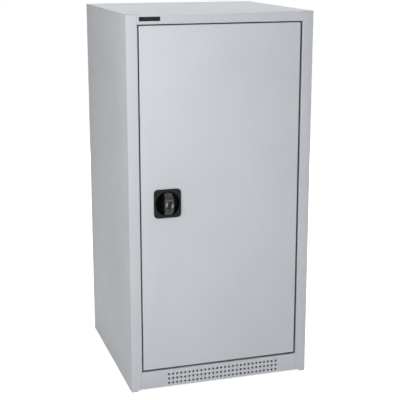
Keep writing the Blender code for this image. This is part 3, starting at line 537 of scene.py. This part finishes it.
@dataclass(frozen=True)
class NaturalNylon(Finish):
    """Uncoloured nylon of the rod guides: milky off-white that light sinks into."""

    edge: str = "#F1EFE6"
    edge_share: float = 0.3
    relief_mm: float = 0.01
    mottle_mm: float = 4.0
    skin_mm: float = 1.5
    # Real pits are about 0.2 mm across; drawn at 0.8 mm so that they show
    pit_mm: float = 0.8

    typical: ClassVar[dict[str, object]] = {
        "IOR": 1.53,
        "Subsurface Weight": 0.15,
        "Subsurface Radius": (0.002, 0.002, 0.0015),
    }

    def pattern(self, tree: Tree, worn: Layer) -> Pattern:
        """Makes milky mottling in the colour, a dull skin in the roughness, and fine pits.

        Args:
            tree: Node tree of the material.
            worn: Layer of the edges' colour.

        Returns:
            The finish's pattern.
        """
        mottle = Layer(self.grain(tree, self.mottle_mm), self.second)
        return Pattern((mottle, worn), self.grain(tree, self.skin_mm), self.grain(tree, self.pit_mm))


@dataclass(frozen=True)
class MouldedRubber(Finish):
    """Black rubber of the door stops: dull, with a grey bloom."""

    edge: str = "#3B3B3D"
    edge_share: float = 0.4
    relief_mm: float = 0.03
    bloom_mm: float = 3.0
    # Real pits are about 0.2 mm across; drawn at 0.6 mm so that they show
    pit_mm: float = 0.6

    typical: ClassVar[dict[str, object]] = {"IOR": 1.52}

    def pattern(self, tree: Tree, worn: Layer) -> Pattern:
        """Makes bloom in the colour, and a pitted skin.

        Args:
            tree: Node tree of the material.
            worn: Layer of the edges' colour.

        Returns:
            The finish's pattern.
        """
        bloom = Layer(self.grain(tree, self.bloom_mm, detail=3.0), self.second)
        pits = self.grain(tree, self.pit_mm)
        return Pattern((bloom, worn), pits, pits)


@dataclass(frozen=True)
class BrushedAcrylic(Finish):
    """Black acrylic sheet of the bare plate on the header: satin face with lines brushed along it."""

    edge: str = "#4A4D52"
    edge_share: float = 0.4
    relief_mm: float = 0.006
    # Real brushing lines lie about 0.1 mm apart; drawn at 0.6 mm so that they show
    line_mm: float = 0.6
    line_stretch: tuple[float, float, float] = (0.04, 1, 1)

    typical: ClassVar[dict[str, object]] = {"IOR": 1.50}

    def pattern(self, tree: Tree, worn: Layer) -> Pattern:
        """Makes lengthwise brushing in the colour, roughness and relief.

        Args:
            tree: Node tree of the material.
            worn: Layer of the edges' colour.

        Returns:
            The finish's pattern.
        """
        lines = self.grain(tree, self.line_mm, detail=3.0, stretch=self.line_stretch)
        return Pattern((Layer(lines, self.second), worn), lines, lines)


@dataclass(frozen=True)
class Finishes:
    """The finishes of the cabinet, each made once."""

    steel: bpy.types.Material
    door_steel: bpy.types.Material
    zinc: bpy.types.Material
    black_nylon: bpy.types.Material
    dished: bpy.types.Material
    grip: bpy.types.Material
    nickel: bpy.types.Material
    turned: bpy.types.Material
    nylon: bpy.types.Material
    rubber: bpy.types.Material
    plate: bpy.types.Material

    @classmethod
    def make(cls) -> "Finishes":
        """Builds all finishes.

        Returns:
            The finished materials.
        """
        low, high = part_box("lock_barrel")
        barrel, escutcheon = (
            tuple(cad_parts[name].matrix_world.inverted() @ ((low + high) / 2))
            for name in ("lock_barrel", "lock_escutcheon")
        )
        steel = PowderCoat("grey_powder_coat", "#CACDD2", "#C4C7CC", (0.40, 0.50), gloss=0.16)
        door_steel = PowderCoat("door_powder_coat", "#CFD2D7", "#C9CCD1", (0.40, 0.50), gloss=0.16)
        zinc = ZincPlate("bright_zinc", "#BFC4C9", "#A9AFB6", (0.26, 0.42), edge_mm=0.5)
        black_nylon = MouldedNylon(
            "black_moulded_nylon", "#08090A", "#0D0E0F", (0.40, 0.52), edge_mm=0.9, gloss=0.15
        )
        dished = DishedNylon(
            "black_dished_nylon_painted_shade",
            "#2C2D30",
            "#040405",
            (0.40, 0.52),
            edge_mm=0.9,
            gloss=0.05,
            middle=escutcheon,
        )
        grip = MouldedNylon("black_grip_nylon", "#0C0D0F", "#131416", (0.28, 0.40), edge_mm=0.9)
        nickel = NickelPlate("black_nickel", "#2A2928", "#1F1E1D", (0.20, 0.32), edge_mm=0.4)
        turned = TurnedNickel("turned_nickel_painted_highlight", "#74716C", "#201F1E", (0.24, 0.36), edge_mm=0.4, middle=barrel)
        nylon = NaturalNylon("natural_nylon", "#DDDBD1", "#CFCDC2", (0.38, 0.50), edge_mm=0.5)
        rubber = MouldedRubber("black_rubber", "#1B1B1C", "#2A2A2B", (0.72, 0.88), edge_mm=0.5)
        plate = BrushedAcrylic(
            "black_brushed_acrylic", "#090A0B", "#101113", (0.34, 0.48), edge_mm=0.4, gloss=0.12
        )
        made = (steel, door_steel, zinc, black_nylon, dished, grip, nickel, turned, nylon, rubber, plate)
        return cls(*(finish.build() for finish in made))


@dataclass(frozen=True)
class SmoothShading:
    """Joins a node's split corners and shades its small bends smooth, without touching its mesh."""

    limit_deg: float = 38.0
    join_mm: float = 0.005

    def build(self) -> bpy.types.NodeTree:
        """Makes the modifier's node group.

        Returns:
            The geometry node group.
        """
        tree = bpy.data.node_groups.new("smooth_shading", "GeometryNodeTree")
        tree.interface.new_socket("Geometry", in_out="INPUT", socket_type="NodeSocketGeometry")
        tree.interface.new_socket("Geometry", in_out="OUTPUT", socket_type="NodeSocketGeometry")
        shape = add(tree, "NodeGroupInput").outputs[0]
        inputs = {"Name": "custom_normal"}
        bare = add(tree, "GeometryNodeRemoveAttribute", inputs=inputs, links={"Geometry": shape})
        joined = add(
            tree,
            "GeometryNodeMergeByDistance",
            inputs={"Distance": self.join_mm * MM},
            links={"Geometry": bare.outputs[0]},
        )
        angle = add(tree, "GeometryNodeInputMeshEdgeAngle").outputs["Unsigned Angle"]
        gentle = add(
            tree,
            "FunctionNodeCompare",
            settings={"data_type": "FLOAT", "operation": "LESS_EQUAL"},
            inputs={1: math.radians(self.limit_deg)},
            links={0: angle},
        )
        faces = add(
            tree,
            "GeometryNodeSetShadeSmooth",
            settings={"domain": "FACE"},
            inputs={"Shade Smooth": True},
            links={"Geometry": joined.outputs[0]},
        )
        edges = add(
            tree,
            "GeometryNodeSetShadeSmooth",
            settings={"domain": "EDGE"},
            links={"Geometry": faces.outputs[0], "Shade Smooth": gentle.outputs[0]},
        )
        add(tree, "NodeGroupOutput", links={0: edges.outputs[0]})
        return tree


@dataclass
class Dresser:
    """Gives CAD nodes their finish and new pieces their place in the frame."""

    finishes: Finishes
    smooth: bpy.types.NodeTree

    def dress(self, names: Iterable[str], material: bpy.types.Material) -> None:
        """Puts a finish and smooth shading on CAD nodes.

        Args:
            names: Names of the nodes.
            material: Finish that they get.
        """
        for name in names:
            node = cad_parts[name]
            node.data.materials.clear()
            node.data.materials.append(material)
            node.modifiers.new("smooth_shading", "NODES").node_group = self.smooth
            LOG.info("dressed %s in %s", name, material.name)

    def add_piece(
        self,
        name: str,
        shells: Sequence[Sequence[Loop]],
        material: bpy.types.Material,
        body: Body,
    ) -> None:
        """Skins sets of loops into one piece that rides on a body.

        Args:
            name: Name of the piece.
            shells: For each shell of the piece, its loops from one end to the other.
            material: Finish of the piece.
            body: Body that it rides on.
        """
        shape = bmesh.new()
        for shell in shells:
            rings = [[shape.verts.new(point) for point in loop] for loop in shell]
            for low, high in zip(rings, rings[1:]):
                for i in range(len(low)):
                    k = (i + 1) % len(low)
                    shape.faces.new((low[i], low[k], high[k], high[i]))
            shape.faces.new(list(reversed(rings[0])))
            shape.faces.new(rings[-1])
        bmesh.ops.recalc_face_normals(shape, faces=shape.faces)
        mesh = bpy.data.meshes.new(name)
        shape.to_mesh(mesh)
        shape.free()
        mesh.materials.append(material)
        item = bpy.data.objects.new(name, mesh)
        bpy.context.scene.collection.objects.link(item)
        item.modifiers.new("smooth_shading", "NODES").node_group = self.smooth
        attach(item, body.value)
        LOG.info("added %s in %s", name, material.name)


def ring(place: Matrix, radius: float, height: float, count: int) -> Loop:
    """Makes a circle round a place's own Z axis.

    Args:
        place: Matrix from the place to the frame.
        radius: Radius of the circle.
        height: Height over the place.
        count: Number of points.

    Returns:
        The circle's points.
    """
    turns = [2 * math.pi * i / count for i in range(count)]
    return [place @ Vector((radius * math.cos(t), radius * math.sin(t), height)) for t in turns]


def facing(origin: Vector, outward: Vector, up: Vector) -> Matrix:
    """Makes a place on a surface.

    Args:
        origin: Point on the surface.
        outward: Direction out of the surface, the place's Z.
        up: Direction along the surface, the place's Y.

    Returns:
        Matrix from the place to the frame.
    """
    axes = Matrix((up.cross(outward), up, outward)).transposed().to_4x4()
    return Matrix.Translation(origin) @ axes


@dataclass(frozen=True)
class SpotWeld:
    """Mark that a spot welder leaves in sheet: a flat dimple with a low rim, painted over."""

    radius: float = 0.0036
    rim: float = 0.00025
    count: int = 20
    # Shares of the radius and of the rim's height, from the sheet over the rim into the dimple
    profile: Profile = ((1.0, -0.4), (0.95, 0.5), (0.82, 1.0), (0.70, 0.7), (0.45, 0.25), (0.15, 0.2))

    def loops(self, place: Matrix) -> list[Loop]:
        """Makes one mark.

        Args:
            place: Place on the sheet.

        Returns:
            The mark's loops from the sheet up.
        """
        return [ring(place, self.radius * r, self.rim * h, self.count) for r, h in self.profile]


@dataclass(frozen=True)
class PanScrew:
    """Pan-head screw with a cross recess."""

    radius: float = 0.0038
    height: float = 0.0024
    recess: float = 0.0022
    slot: float = 0.0006
    depth: float = 0.0015
    taper: float = 0.7
    count: int = 32
    # Shares of the radius and of the height, from the seat up
    profile: Profile = ((1.0, 0.0), (1.0, 0.35), (0.94, 0.65), (0.82, 0.88), (0.66, 1.0))

    def cross(self, place: Matrix, size: float, height: float) -> Loop:
        """Makes the cross recess at one depth.

        Args:
            place: Place of the screw.
            size: Factor on the cross's size.
            height: Height over the place.

        Returns:
            The cross's points, as many as a ring has.
        """
        points = []
        for i in range(self.count):
            turn = 2 * math.pi * i / self.count
            arm = (turn + math.pi / 4) % (math.pi / 2) - math.pi / 4
            reach = self.recess / math.cos(arm)
            if reach * abs(math.sin(arm)) > self.slot:
                reach = self.slot / abs(math.sin(arm))
            x, y = reach * size * math.cos(turn), reach * size * math.sin(turn)
            points.append(place @ Vector((x, y, height)))
        return points

    def loops(self, place: Matrix) -> list[Loop]:
        """Makes one screw head.

        Args:
            place: Place of the screw on its seat.

        Returns:
            The head's loops from the seat up and down into the recess.
        """
        outer = [ring(place, self.radius * r, self.height * h, self.count) for r, h in self.profile]
        mouth = self.cross(place, 1.0, self.height)
        floor = self.cross(place, self.taper, self.height - self.depth)
        return outer + [mouth, floor]


@dataclass(frozen=True)
class NamePlate:
    """Bare plate on the header: a thin bevelled rim round a field that is sunk a little."""

    left: float = -0.2166
    right: float = -0.1624
    low: float = 0.9829
    high: float = 0.9935
    thickness: float = 0.0012
    corner: float = 0.0014
    least_corner: float = 0.0003
    bevel: float = 0.00036
    border: float = 0.0009
    sink: float = 0.0003
    field_inset: float = 0.0027
    steps: int = 5

    def outline(self, place: Matrix, inset: float, height: float) -> Loop:
        """Makes the plate's rounded outline.

        Args:
            place: Place of the plate's middle on the header.
            inset: Distance in from the plate's edge.
            height: Height over the header.

        Returns:
            The outline's points.
        """
        half = Vector((self.right - self.left, self.high - self.low)) / 2
        radius = max(self.corner - inset, self.least_corner)
        reach = half - Vector((inset + radius, inset + radius))
        points = []
        for corner, (x, y) in enumerate(((1, 1), (-1, 1), (-1, -1), (1, -1))):
            for step in range(self.steps + 1):
                turn = math.pi / 2 * (corner + step / self.steps)
                point = (x * reach.x + radius * math.cos(turn), y * reach.y + radius * math.sin(turn), height)
                points.append(place @ Vector(point))
        return points

    def build(self, dresser: Dresser) -> None:
        """Adds the plate to the header.

        Args:
            dresser: Gives the plate its finish and its place.
        """
        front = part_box("top_panel")[0].y
        middle = Vector(((self.left + self.right) / 2, front, (self.low + self.high) / 2))
        place = facing(middle, FRONT, UP)
        top, sunk = self.thickness, self.thickness - self.sink
        rim = ((0, 0), (0, top - self.bevel), (self.bevel, top), (self.border, top))
        field = ((self.border + self.sink, sunk), (self.field_inset, sunk))
        loops = [self.outline(place, inset, height) for inset, height in rim + field]
        dresser.add_piece("name_plate", [loops], dresser.finishes.plate, Body.CARCASS)


@dataclass(frozen=True)
class Carcass:
    """Welded sheet-steel housing with its floor, back and pivots."""

    weld_pitch: float = 0.080
    weld_edge: float = 0.010
    weld: SpotWeld = SpotWeld()

    def dress(self, dresser: Dresser) -> None:
        """Finishes the housing's nodes.

        Args:
            dresser: Gives the nodes their finish.
        """
        sheets = ["left_side_panel", "right_side_panel", "back_panel", "top_panel", "front_plinth"]
        sheets += ["floor_panel", "left_base_rail", "right_base_rail", "rear_base_rail"]
        dresser.dress(sheets, dresser.finishes.steel)
        dresser.dress(["upper_pivot_pin", "lower_pivot_pin"], dresser.finishes.zinc)
        dresser.dress(["pivot_thrust_washer"], dresser.finishes.black_nylon)
        dresser.dress(["upper_door_buffer", "lower_door_buffer"], dresser.finishes.rubber)

    def add_back_welds(self, dresser: Dresser) -> None:
        """Marks the spot welds that hold the back panel to the side panels' flanges.

        Args:
            dresser: Gives the marks their finish and their place.
        """
        low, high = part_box("back_panel")
        height = high.z - low.z - 2 * self.weld_edge
        rows = round(height / self.weld_pitch)
        marks = []
        for x in (low.x + self.weld_edge, high.x - self.weld_edge):
            for i in range(rows + 1):
                z = low.z + self.weld_edge + height * i / rows
                marks.append(self.weld.loops(facing(Vector((x, high.y, z)), REAR, UP)))
        dresser.add_piece("back_spot_welds", marks, dresser.finishes.steel, Body.CARCASS)

    def build(self, dresser: Dresser) -> None:
        """Dresses the housing and adds its weld marks."""
        self.dress(dresser)
        self.add_back_welds(dresser)


@dataclass(frozen=True)
class Shelving:
    """Slotted rails, clips and the shelves that rest on them."""

    shelves: int = 3

    def build(self, dresser: Dresser) -> None:
        """Finishes rails and shelves in paint and clips in zinc.

        Args:
            dresser: Gives the nodes their finish.
        """
        places = [f"{side}_{end}" for side in ("left", "right") for end in ("front", "rear")]
        numbers = range(1, self.shelves + 1)
        dresser.dress([f"{place}_shelf_rail" for place in places], dresser.finishes.steel)
        dresser.dress([f"shelf_{n}" for n in numbers], dresser.finishes.steel)
        dresser.dress([f"shelf_{n}_clip_{place}" for n in numbers for place in places], dresser.finishes.zinc)


@dataclass(frozen=True)
class Door:
    """Folded door tray with its stiffener and pivot bushes."""

    weld_pitch: float = 0.090
    weld_edge: float = 0.006
    weld: SpotWeld = SpotWeld(radius=0.0026)
    flange: float = 0.0010

    def build(self, dresser: Dresser) -> None:
        """Dresses the door and marks the stiffener's spot welds.

        Args:
            dresser: Gives nodes and marks their finish, and the marks their place.
        """
        dresser.dress(["door_panel", "door_stiffener"], dresser.finishes.door_steel)
        dresser.dress(["upper_pivot_bush", "lower_pivot_bush"], dresser.finishes.black_nylon)
        low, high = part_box("door_stiffener")
        rows = round((high.z - low.z) / self.weld_pitch)
        marks = []
        for x in (low.x + self.weld_edge, high.x - self.weld_edge):
            for i in range(rows):
                z = low.z + (high.z - low.z) * (i + 0.5) / rows
                seat = Vector((x, low.y + self.flange, z))
                marks.append(self.weld.loops(facing(seat, REAR, UP)))
        dresser.add_piece("stiffener_spot_welds", marks, dresser.finishes.door_steel, Body.DOOR)


@dataclass(frozen=True)
class Lock:
    """Turn handle in its dish, key barrel, gear case and rod bolts."""

    screw: PanScrew = PanScrew()
    screw_inset: float = 0.0065
    guide_screw: PanScrew = PanScrew(
        radius=0.0022, height=0.0014, recess=0.0013, slot=0.0004, depth=0.0009, count=24
    )
    guide_screw_inset: float = 0.0029
    keyway: tuple[float, float] = (0.0026, 0.0086)
    shutter_gap: float = 0.0001
    shutter_sink: float = 0.0008
    shutter_slit: float = 0.0005
    # Share of a flap's width that its outline is inset, and height in sinks, from the back to the front
    shutter_profile: Profile = ((0.0, -3.0), (0.0, -0.5), (0.0, 0.0), (0.3, 0.0))

    def dress(self, dresser: Dresser) -> None:
        """Finishes the lock's nodes.

        Args:
            dresser: Gives the nodes their finish.
        """
        finishes = dresser.finishes
        dresser.dress(["lock_escutcheon"], finishes.dished)
        dresser.dress(["handle_grip"], finishes.grip)
        dresser.dress(["lock_barrel"], finishes.turned)
        dresser.dress(["key_plug"], finishes.nickel)
        dresser.dress(["lock_case", "lock_case_cover", "handle_spindle", "drive_pinion"], finishes.zinc)
        dresser.dress(["spindle_retaining_ring", "upper_lock_rod", "lower_lock_rod"], finishes.zinc)
        dresser.dress(["upper_rod_guide", "lower_rod_guide"], finishes.nylon)

    def add_screws(self, dresser: Dresser) -> None:
        """Puts a screw in each corner of the gear case's cover.

        Args:
            dresser: Gives the screws their finish and their place.
        """
        low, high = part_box("lock_case_cover")
        inset = self.screw_inset
        heads = []
        for x in (low.x + inset, high.x - inset):
            for z in (low.z + inset, high.z - inset):
                heads.append(self.screw.loops(facing(Vector((x, high.y, z)), REAR, UP)))
        dresser.add_piece("lock_case_screws", heads, dresser.finishes.zinc, Body.DOOR)

    def add_guide_screws(self, dresser: Dresser) -> None:
        """Puts a small screw on each side of the rod in both rod guides.

        Args:
            dresser: Gives the screws their finish and their place.
        """
        inset = self.guide_screw_inset
        heads = []
        for name in ("upper_rod_guide", "lower_rod_guide"):
            low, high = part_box(name)
            for x in (low.x + inset, high.x - inset):
                seat = Vector((x, high.y, (low.z + high.z) / 2))
                heads.append(self.guide_screw.loops(facing(seat, REAR, UP)))
        dresser.add_piece("rod_guide_screws", heads, dresser.finishes.zinc, Body.DOOR)

    def add_shutter(self, dresser: Dresser) -> None:
        """Closes the keyway with two black spring flaps, with a slit between them for the key; the flaps also
        stand in for the shade inside the keyway.

        Args:
            dresser: Gives the flaps their finish and their place.
        """
        low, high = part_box("key_plug")
        middle = (low + high) / 2
        place = facing(Vector((middle.x, low.y + self.shutter_sink, middle.z)), FRONT, UP)
        half, tall = (size / 2 - self.shutter_gap for size in self.keyway)
        slit = self.shutter_slit / 2
        flaps = []
        for side in (-1, 1):
            loops = []
            for share, height in self.shutter_profile:
                inset = share * (half - slit)
                outer, inner, end = side * (half - inset), side * (slit + inset), tall - inset
                corners = ((outer, -end), (inner, -end), (inner, end), (outer, end))
                loops.append([place @ Vector((x, y, height * self.shutter_sink)) for x, y in corners])
            flaps.append(loops)
        # The black flaps partly stand in for the shade inside the keyway
        dresser.add_piece("keyway_shutter", flaps, dresser.finishes.black_nylon, Body.KEY)

    def build(self, dresser: Dresser) -> None:
        """Dresses the lock and adds its screws and the keyway's shutter.

        Args:
            dresser: Gives nodes and pieces their finish, and the pieces their place.
        """
        self.dress(dresser)
        self.add_screws(dresser)
        self.add_guide_screws(dresser)
        self.add_shutter(dresser)


@dataclass(frozen=True)
class SoftBox:
    """Large square lamp that looks at a point."""

    name: str
    place: tuple[float, float, float]
    target: tuple[float, float, float]
    size: float
    power: float

    def build(self) -> None:
        """Adds the lamp."""
        lamp = bpy.data.lights.new(self.name, "AREA")
        lamp.shape = "SQUARE"
        lamp.size = self.size
        lamp.energy = self.power
        item = bpy.data.objects.new(self.name, lamp)
        item.location = self.place
        item.rotation_euler = (Vector(self.target) - Vector(self.place)).to_track_quat("-Z", "Y").to_euler()
        bpy.context.scene.collection.objects.link(item)


@dataclass(frozen=True)
class Studio:
    """White floor, soft light and a camera at the photograph's viewing angle."""

    floor_size: float = 60.0
    floor_colour: str = "#E8E8E8"
    # White that the eye sees on top of the lit floor, and the distances between which it changes
    floor_white: tuple[float, float] = (0.80, 0.94)
    floor_fade: tuple[float, float] = (0.8, 2.5)
    floor_gap: float = 0.0003
    # How far behind the cabinet's front the floor in its shade begins
    floor_front: float = 0.015
    ambient: float = 0.08
    sensor_mm: float = 36.0
    lens_mm: float = 90.09
    # Small, because other views keep it; the eye and its angles are fitted to the photograph for this shift
    shift_y: float = -0.04
    clip: tuple[float, float] = (0.05, 100.0)
    eye: tuple[float, float, float] = (-0.8129, -2.6576, 1.1630)
    azimuth_deg: float = 17.311
    elevation_deg: float = -13.368
    roll_deg: float = 0.018
    # Place, target and size in metres, power in watts
    lamps: tuple[SoftBox, ...] = (
        SoftBox("front_light", (0.5, -3.2, 0.7), (0.0, -0.1, 0.5), 1.4, 28.1),
        SoftBox("corner_light", (-1.1, -1.2, 1.2), (-0.1, -0.2, 0.75), 0.8, 15.5),
        SoftBox("top_light", (0.0, 0.2, 2.8), (0.0, 0.0, 0.9), 1.6, 30.7),
        SoftBox("side_light", (2.7, 0.3, 0.52), (0.0, 0.0, 0.5), 0.9, 22.0),
        SoftBox("rear_light", (0.8, 2.9, 0.52), (0.0, 0.0, 0.5), 0.9, 24.0),
    )

    def seen(self, tree: Tree) -> Socket:
        """Tells rays that show the background from rays that only light things.

        Args:
            tree: Node tree of the floor's material or of the world.

        Returns:
            1 for camera, glossy and transmission rays.
        """
        path = add(tree, "ShaderNodeLightPath")
        seen = path.outputs["Is Camera Ray"]
        for name in ("Is Glossy Ray", "Is Transmission Ray"):
            links = {0: seen, 1: path.outputs[name]}
            seen = add(tree, "ShaderNodeMath", {"operation": "MAXIMUM"}, links=links).outputs[0]
        return seen

    def add_plane(self, name: str, low: Vector, high: Vector, white: tuple[float, float]) -> None:
        """Lays a level piece of floor.

        Args:
            name: Name of the piece of floor.
            low: Lowest corner.
            high: Opposite corner, at the same height.
            white: Plain white that the eye sees on top of the lit floor, near the cabinet and far from it.
        """
        corners = ((low.x, low.y), (high.x, low.y), (high.x, high.y), (low.x, high.y))
        mesh = bpy.data.meshes.new(name)
        mesh.from_pydata([(x, y, low.z) for x, y in corners], [], [(0, 1, 2, 3)])
        item = bpy.data.objects.new(name, mesh)
        bpy.context.scene.collection.objects.link(item)
        material = bpy.data.materials.new(name)
        material.use_nodes = True
        tree = material.node_tree
        tree.nodes.clear()
        matt = add(tree, "ShaderNodeBsdfDiffuse", inputs={"Color": linear(self.floor_colour)})
        place = add(tree, "ShaderNodeTexCoord").outputs["Object"]
        reach = add(tree, "ShaderNodeVectorMath", settings={"operation": "LENGTH"}, links={0: place})
        inputs = dict(zip(RANGE, self.floor_fade + white))
        added = add(tree, "ShaderNodeMapRange", inputs=inputs, links={"Value": reach.outputs["Value"]})
        links = {0: self.seen(tree), 1: added.outputs[0]}
        share = add(tree, "ShaderNodeMath", settings={"operation": "MULTIPLY"}, links=links)
        links = {"Strength": share.outputs[0]}
        plain = add(tree, "ShaderNodeEmission", inputs={"Color": WHITE}, links=links)
        both = add(tree, "ShaderNodeAddShader", links={0: matt.outputs[0], 1: plain.outputs[0]})
        add(tree, "ShaderNodeOutputMaterial", links={"Surface": both.outputs[0]})
        mesh.materials.append(material)

    def add_floor(self) -> None:
        """Lays a floor that is white to the eye, and under the cabinet one that is left in its shade."""
        low, high = CAD_BOX[0].copy(), CAD_BOX[1].copy()
        low.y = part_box("left_side_panel")[0].y + self.floor_front
        low.z -= self.floor_gap
        self.add_plane("floor_under_cabinet", low, high, (0.0, 0.0))
        low.z -= self.floor_gap
        reach = Vector((self.floor_size / 2, self.floor_size / 2, 0))
        self.add_plane("floor", low - reach, high + reach, self.floor_white)

    def add_world(self) -> None:
        """Makes a white surround that lights the object evenly."""
        world = bpy.data.worlds.new("studio")
        world.use_nodes = True
        tree = world.node_tree
        tree.nodes.clear()
        white = add(tree, "ShaderNodeBackground", inputs={"Color": WHITE, "Strength": 1.0})
        light = add(tree, "ShaderNodeBackground", inputs={"Color": WHITE, "Strength": self.ambient})
        links = {0: self.seen(tree), 1: light.outputs[0], 2: white.outputs[0]}
        mixed = add(tree, "ShaderNodeMixShader", links=links)
        add(tree, "ShaderNodeOutputWorld", links={"Surface": mixed.outputs[0]})
        bpy.context.scene.world = world

    def add_camera(self) -> None:
        """Sets up the camera at the photograph's viewing angle."""
        data = bpy.data.cameras.new("camera")
        data.sensor_width = self.sensor_mm
        data.lens = self.lens_mm
        data.shift_y = self.shift_y
        data.clip_start, data.clip_end = self.clip
        item = bpy.data.objects.new("camera", data)
        item.location = self.eye
        # An unturned camera looks straight down
        pitch = math.radians(90 + self.elevation_deg)
        item.rotation_euler = Euler((pitch, math.radians(self.roll_deg), -math.radians(self.azimuth_deg)))
        bpy.context.scene.collection.objects.link(item)
        bpy.context.scene.camera = item

    def build(self) -> None:
        """Builds floor, surround, lamps and camera, and sets the view transform."""
        self.add_floor()
        self.add_world()
        for lamp in self.lamps:
            lamp.build()
        self.add_camera()
        bpy.context.scene.view_settings.view_transform = "Standard"


def main() -> None:
    """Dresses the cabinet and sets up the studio."""
    logging.basicConfig(level=logging.INFO, format="%(name)s: %(message)s")
    dresser = Dresser(Finishes.make(), SmoothShading().build())
    for assembly in (Carcass(), Shelving(), Door(), Lock(), NamePlate()):
        assembly.build(dresser)
        LOG.info("built %s", type(assembly).__name__)
    Studio().build()


if __name__ == "__main__":
    main()
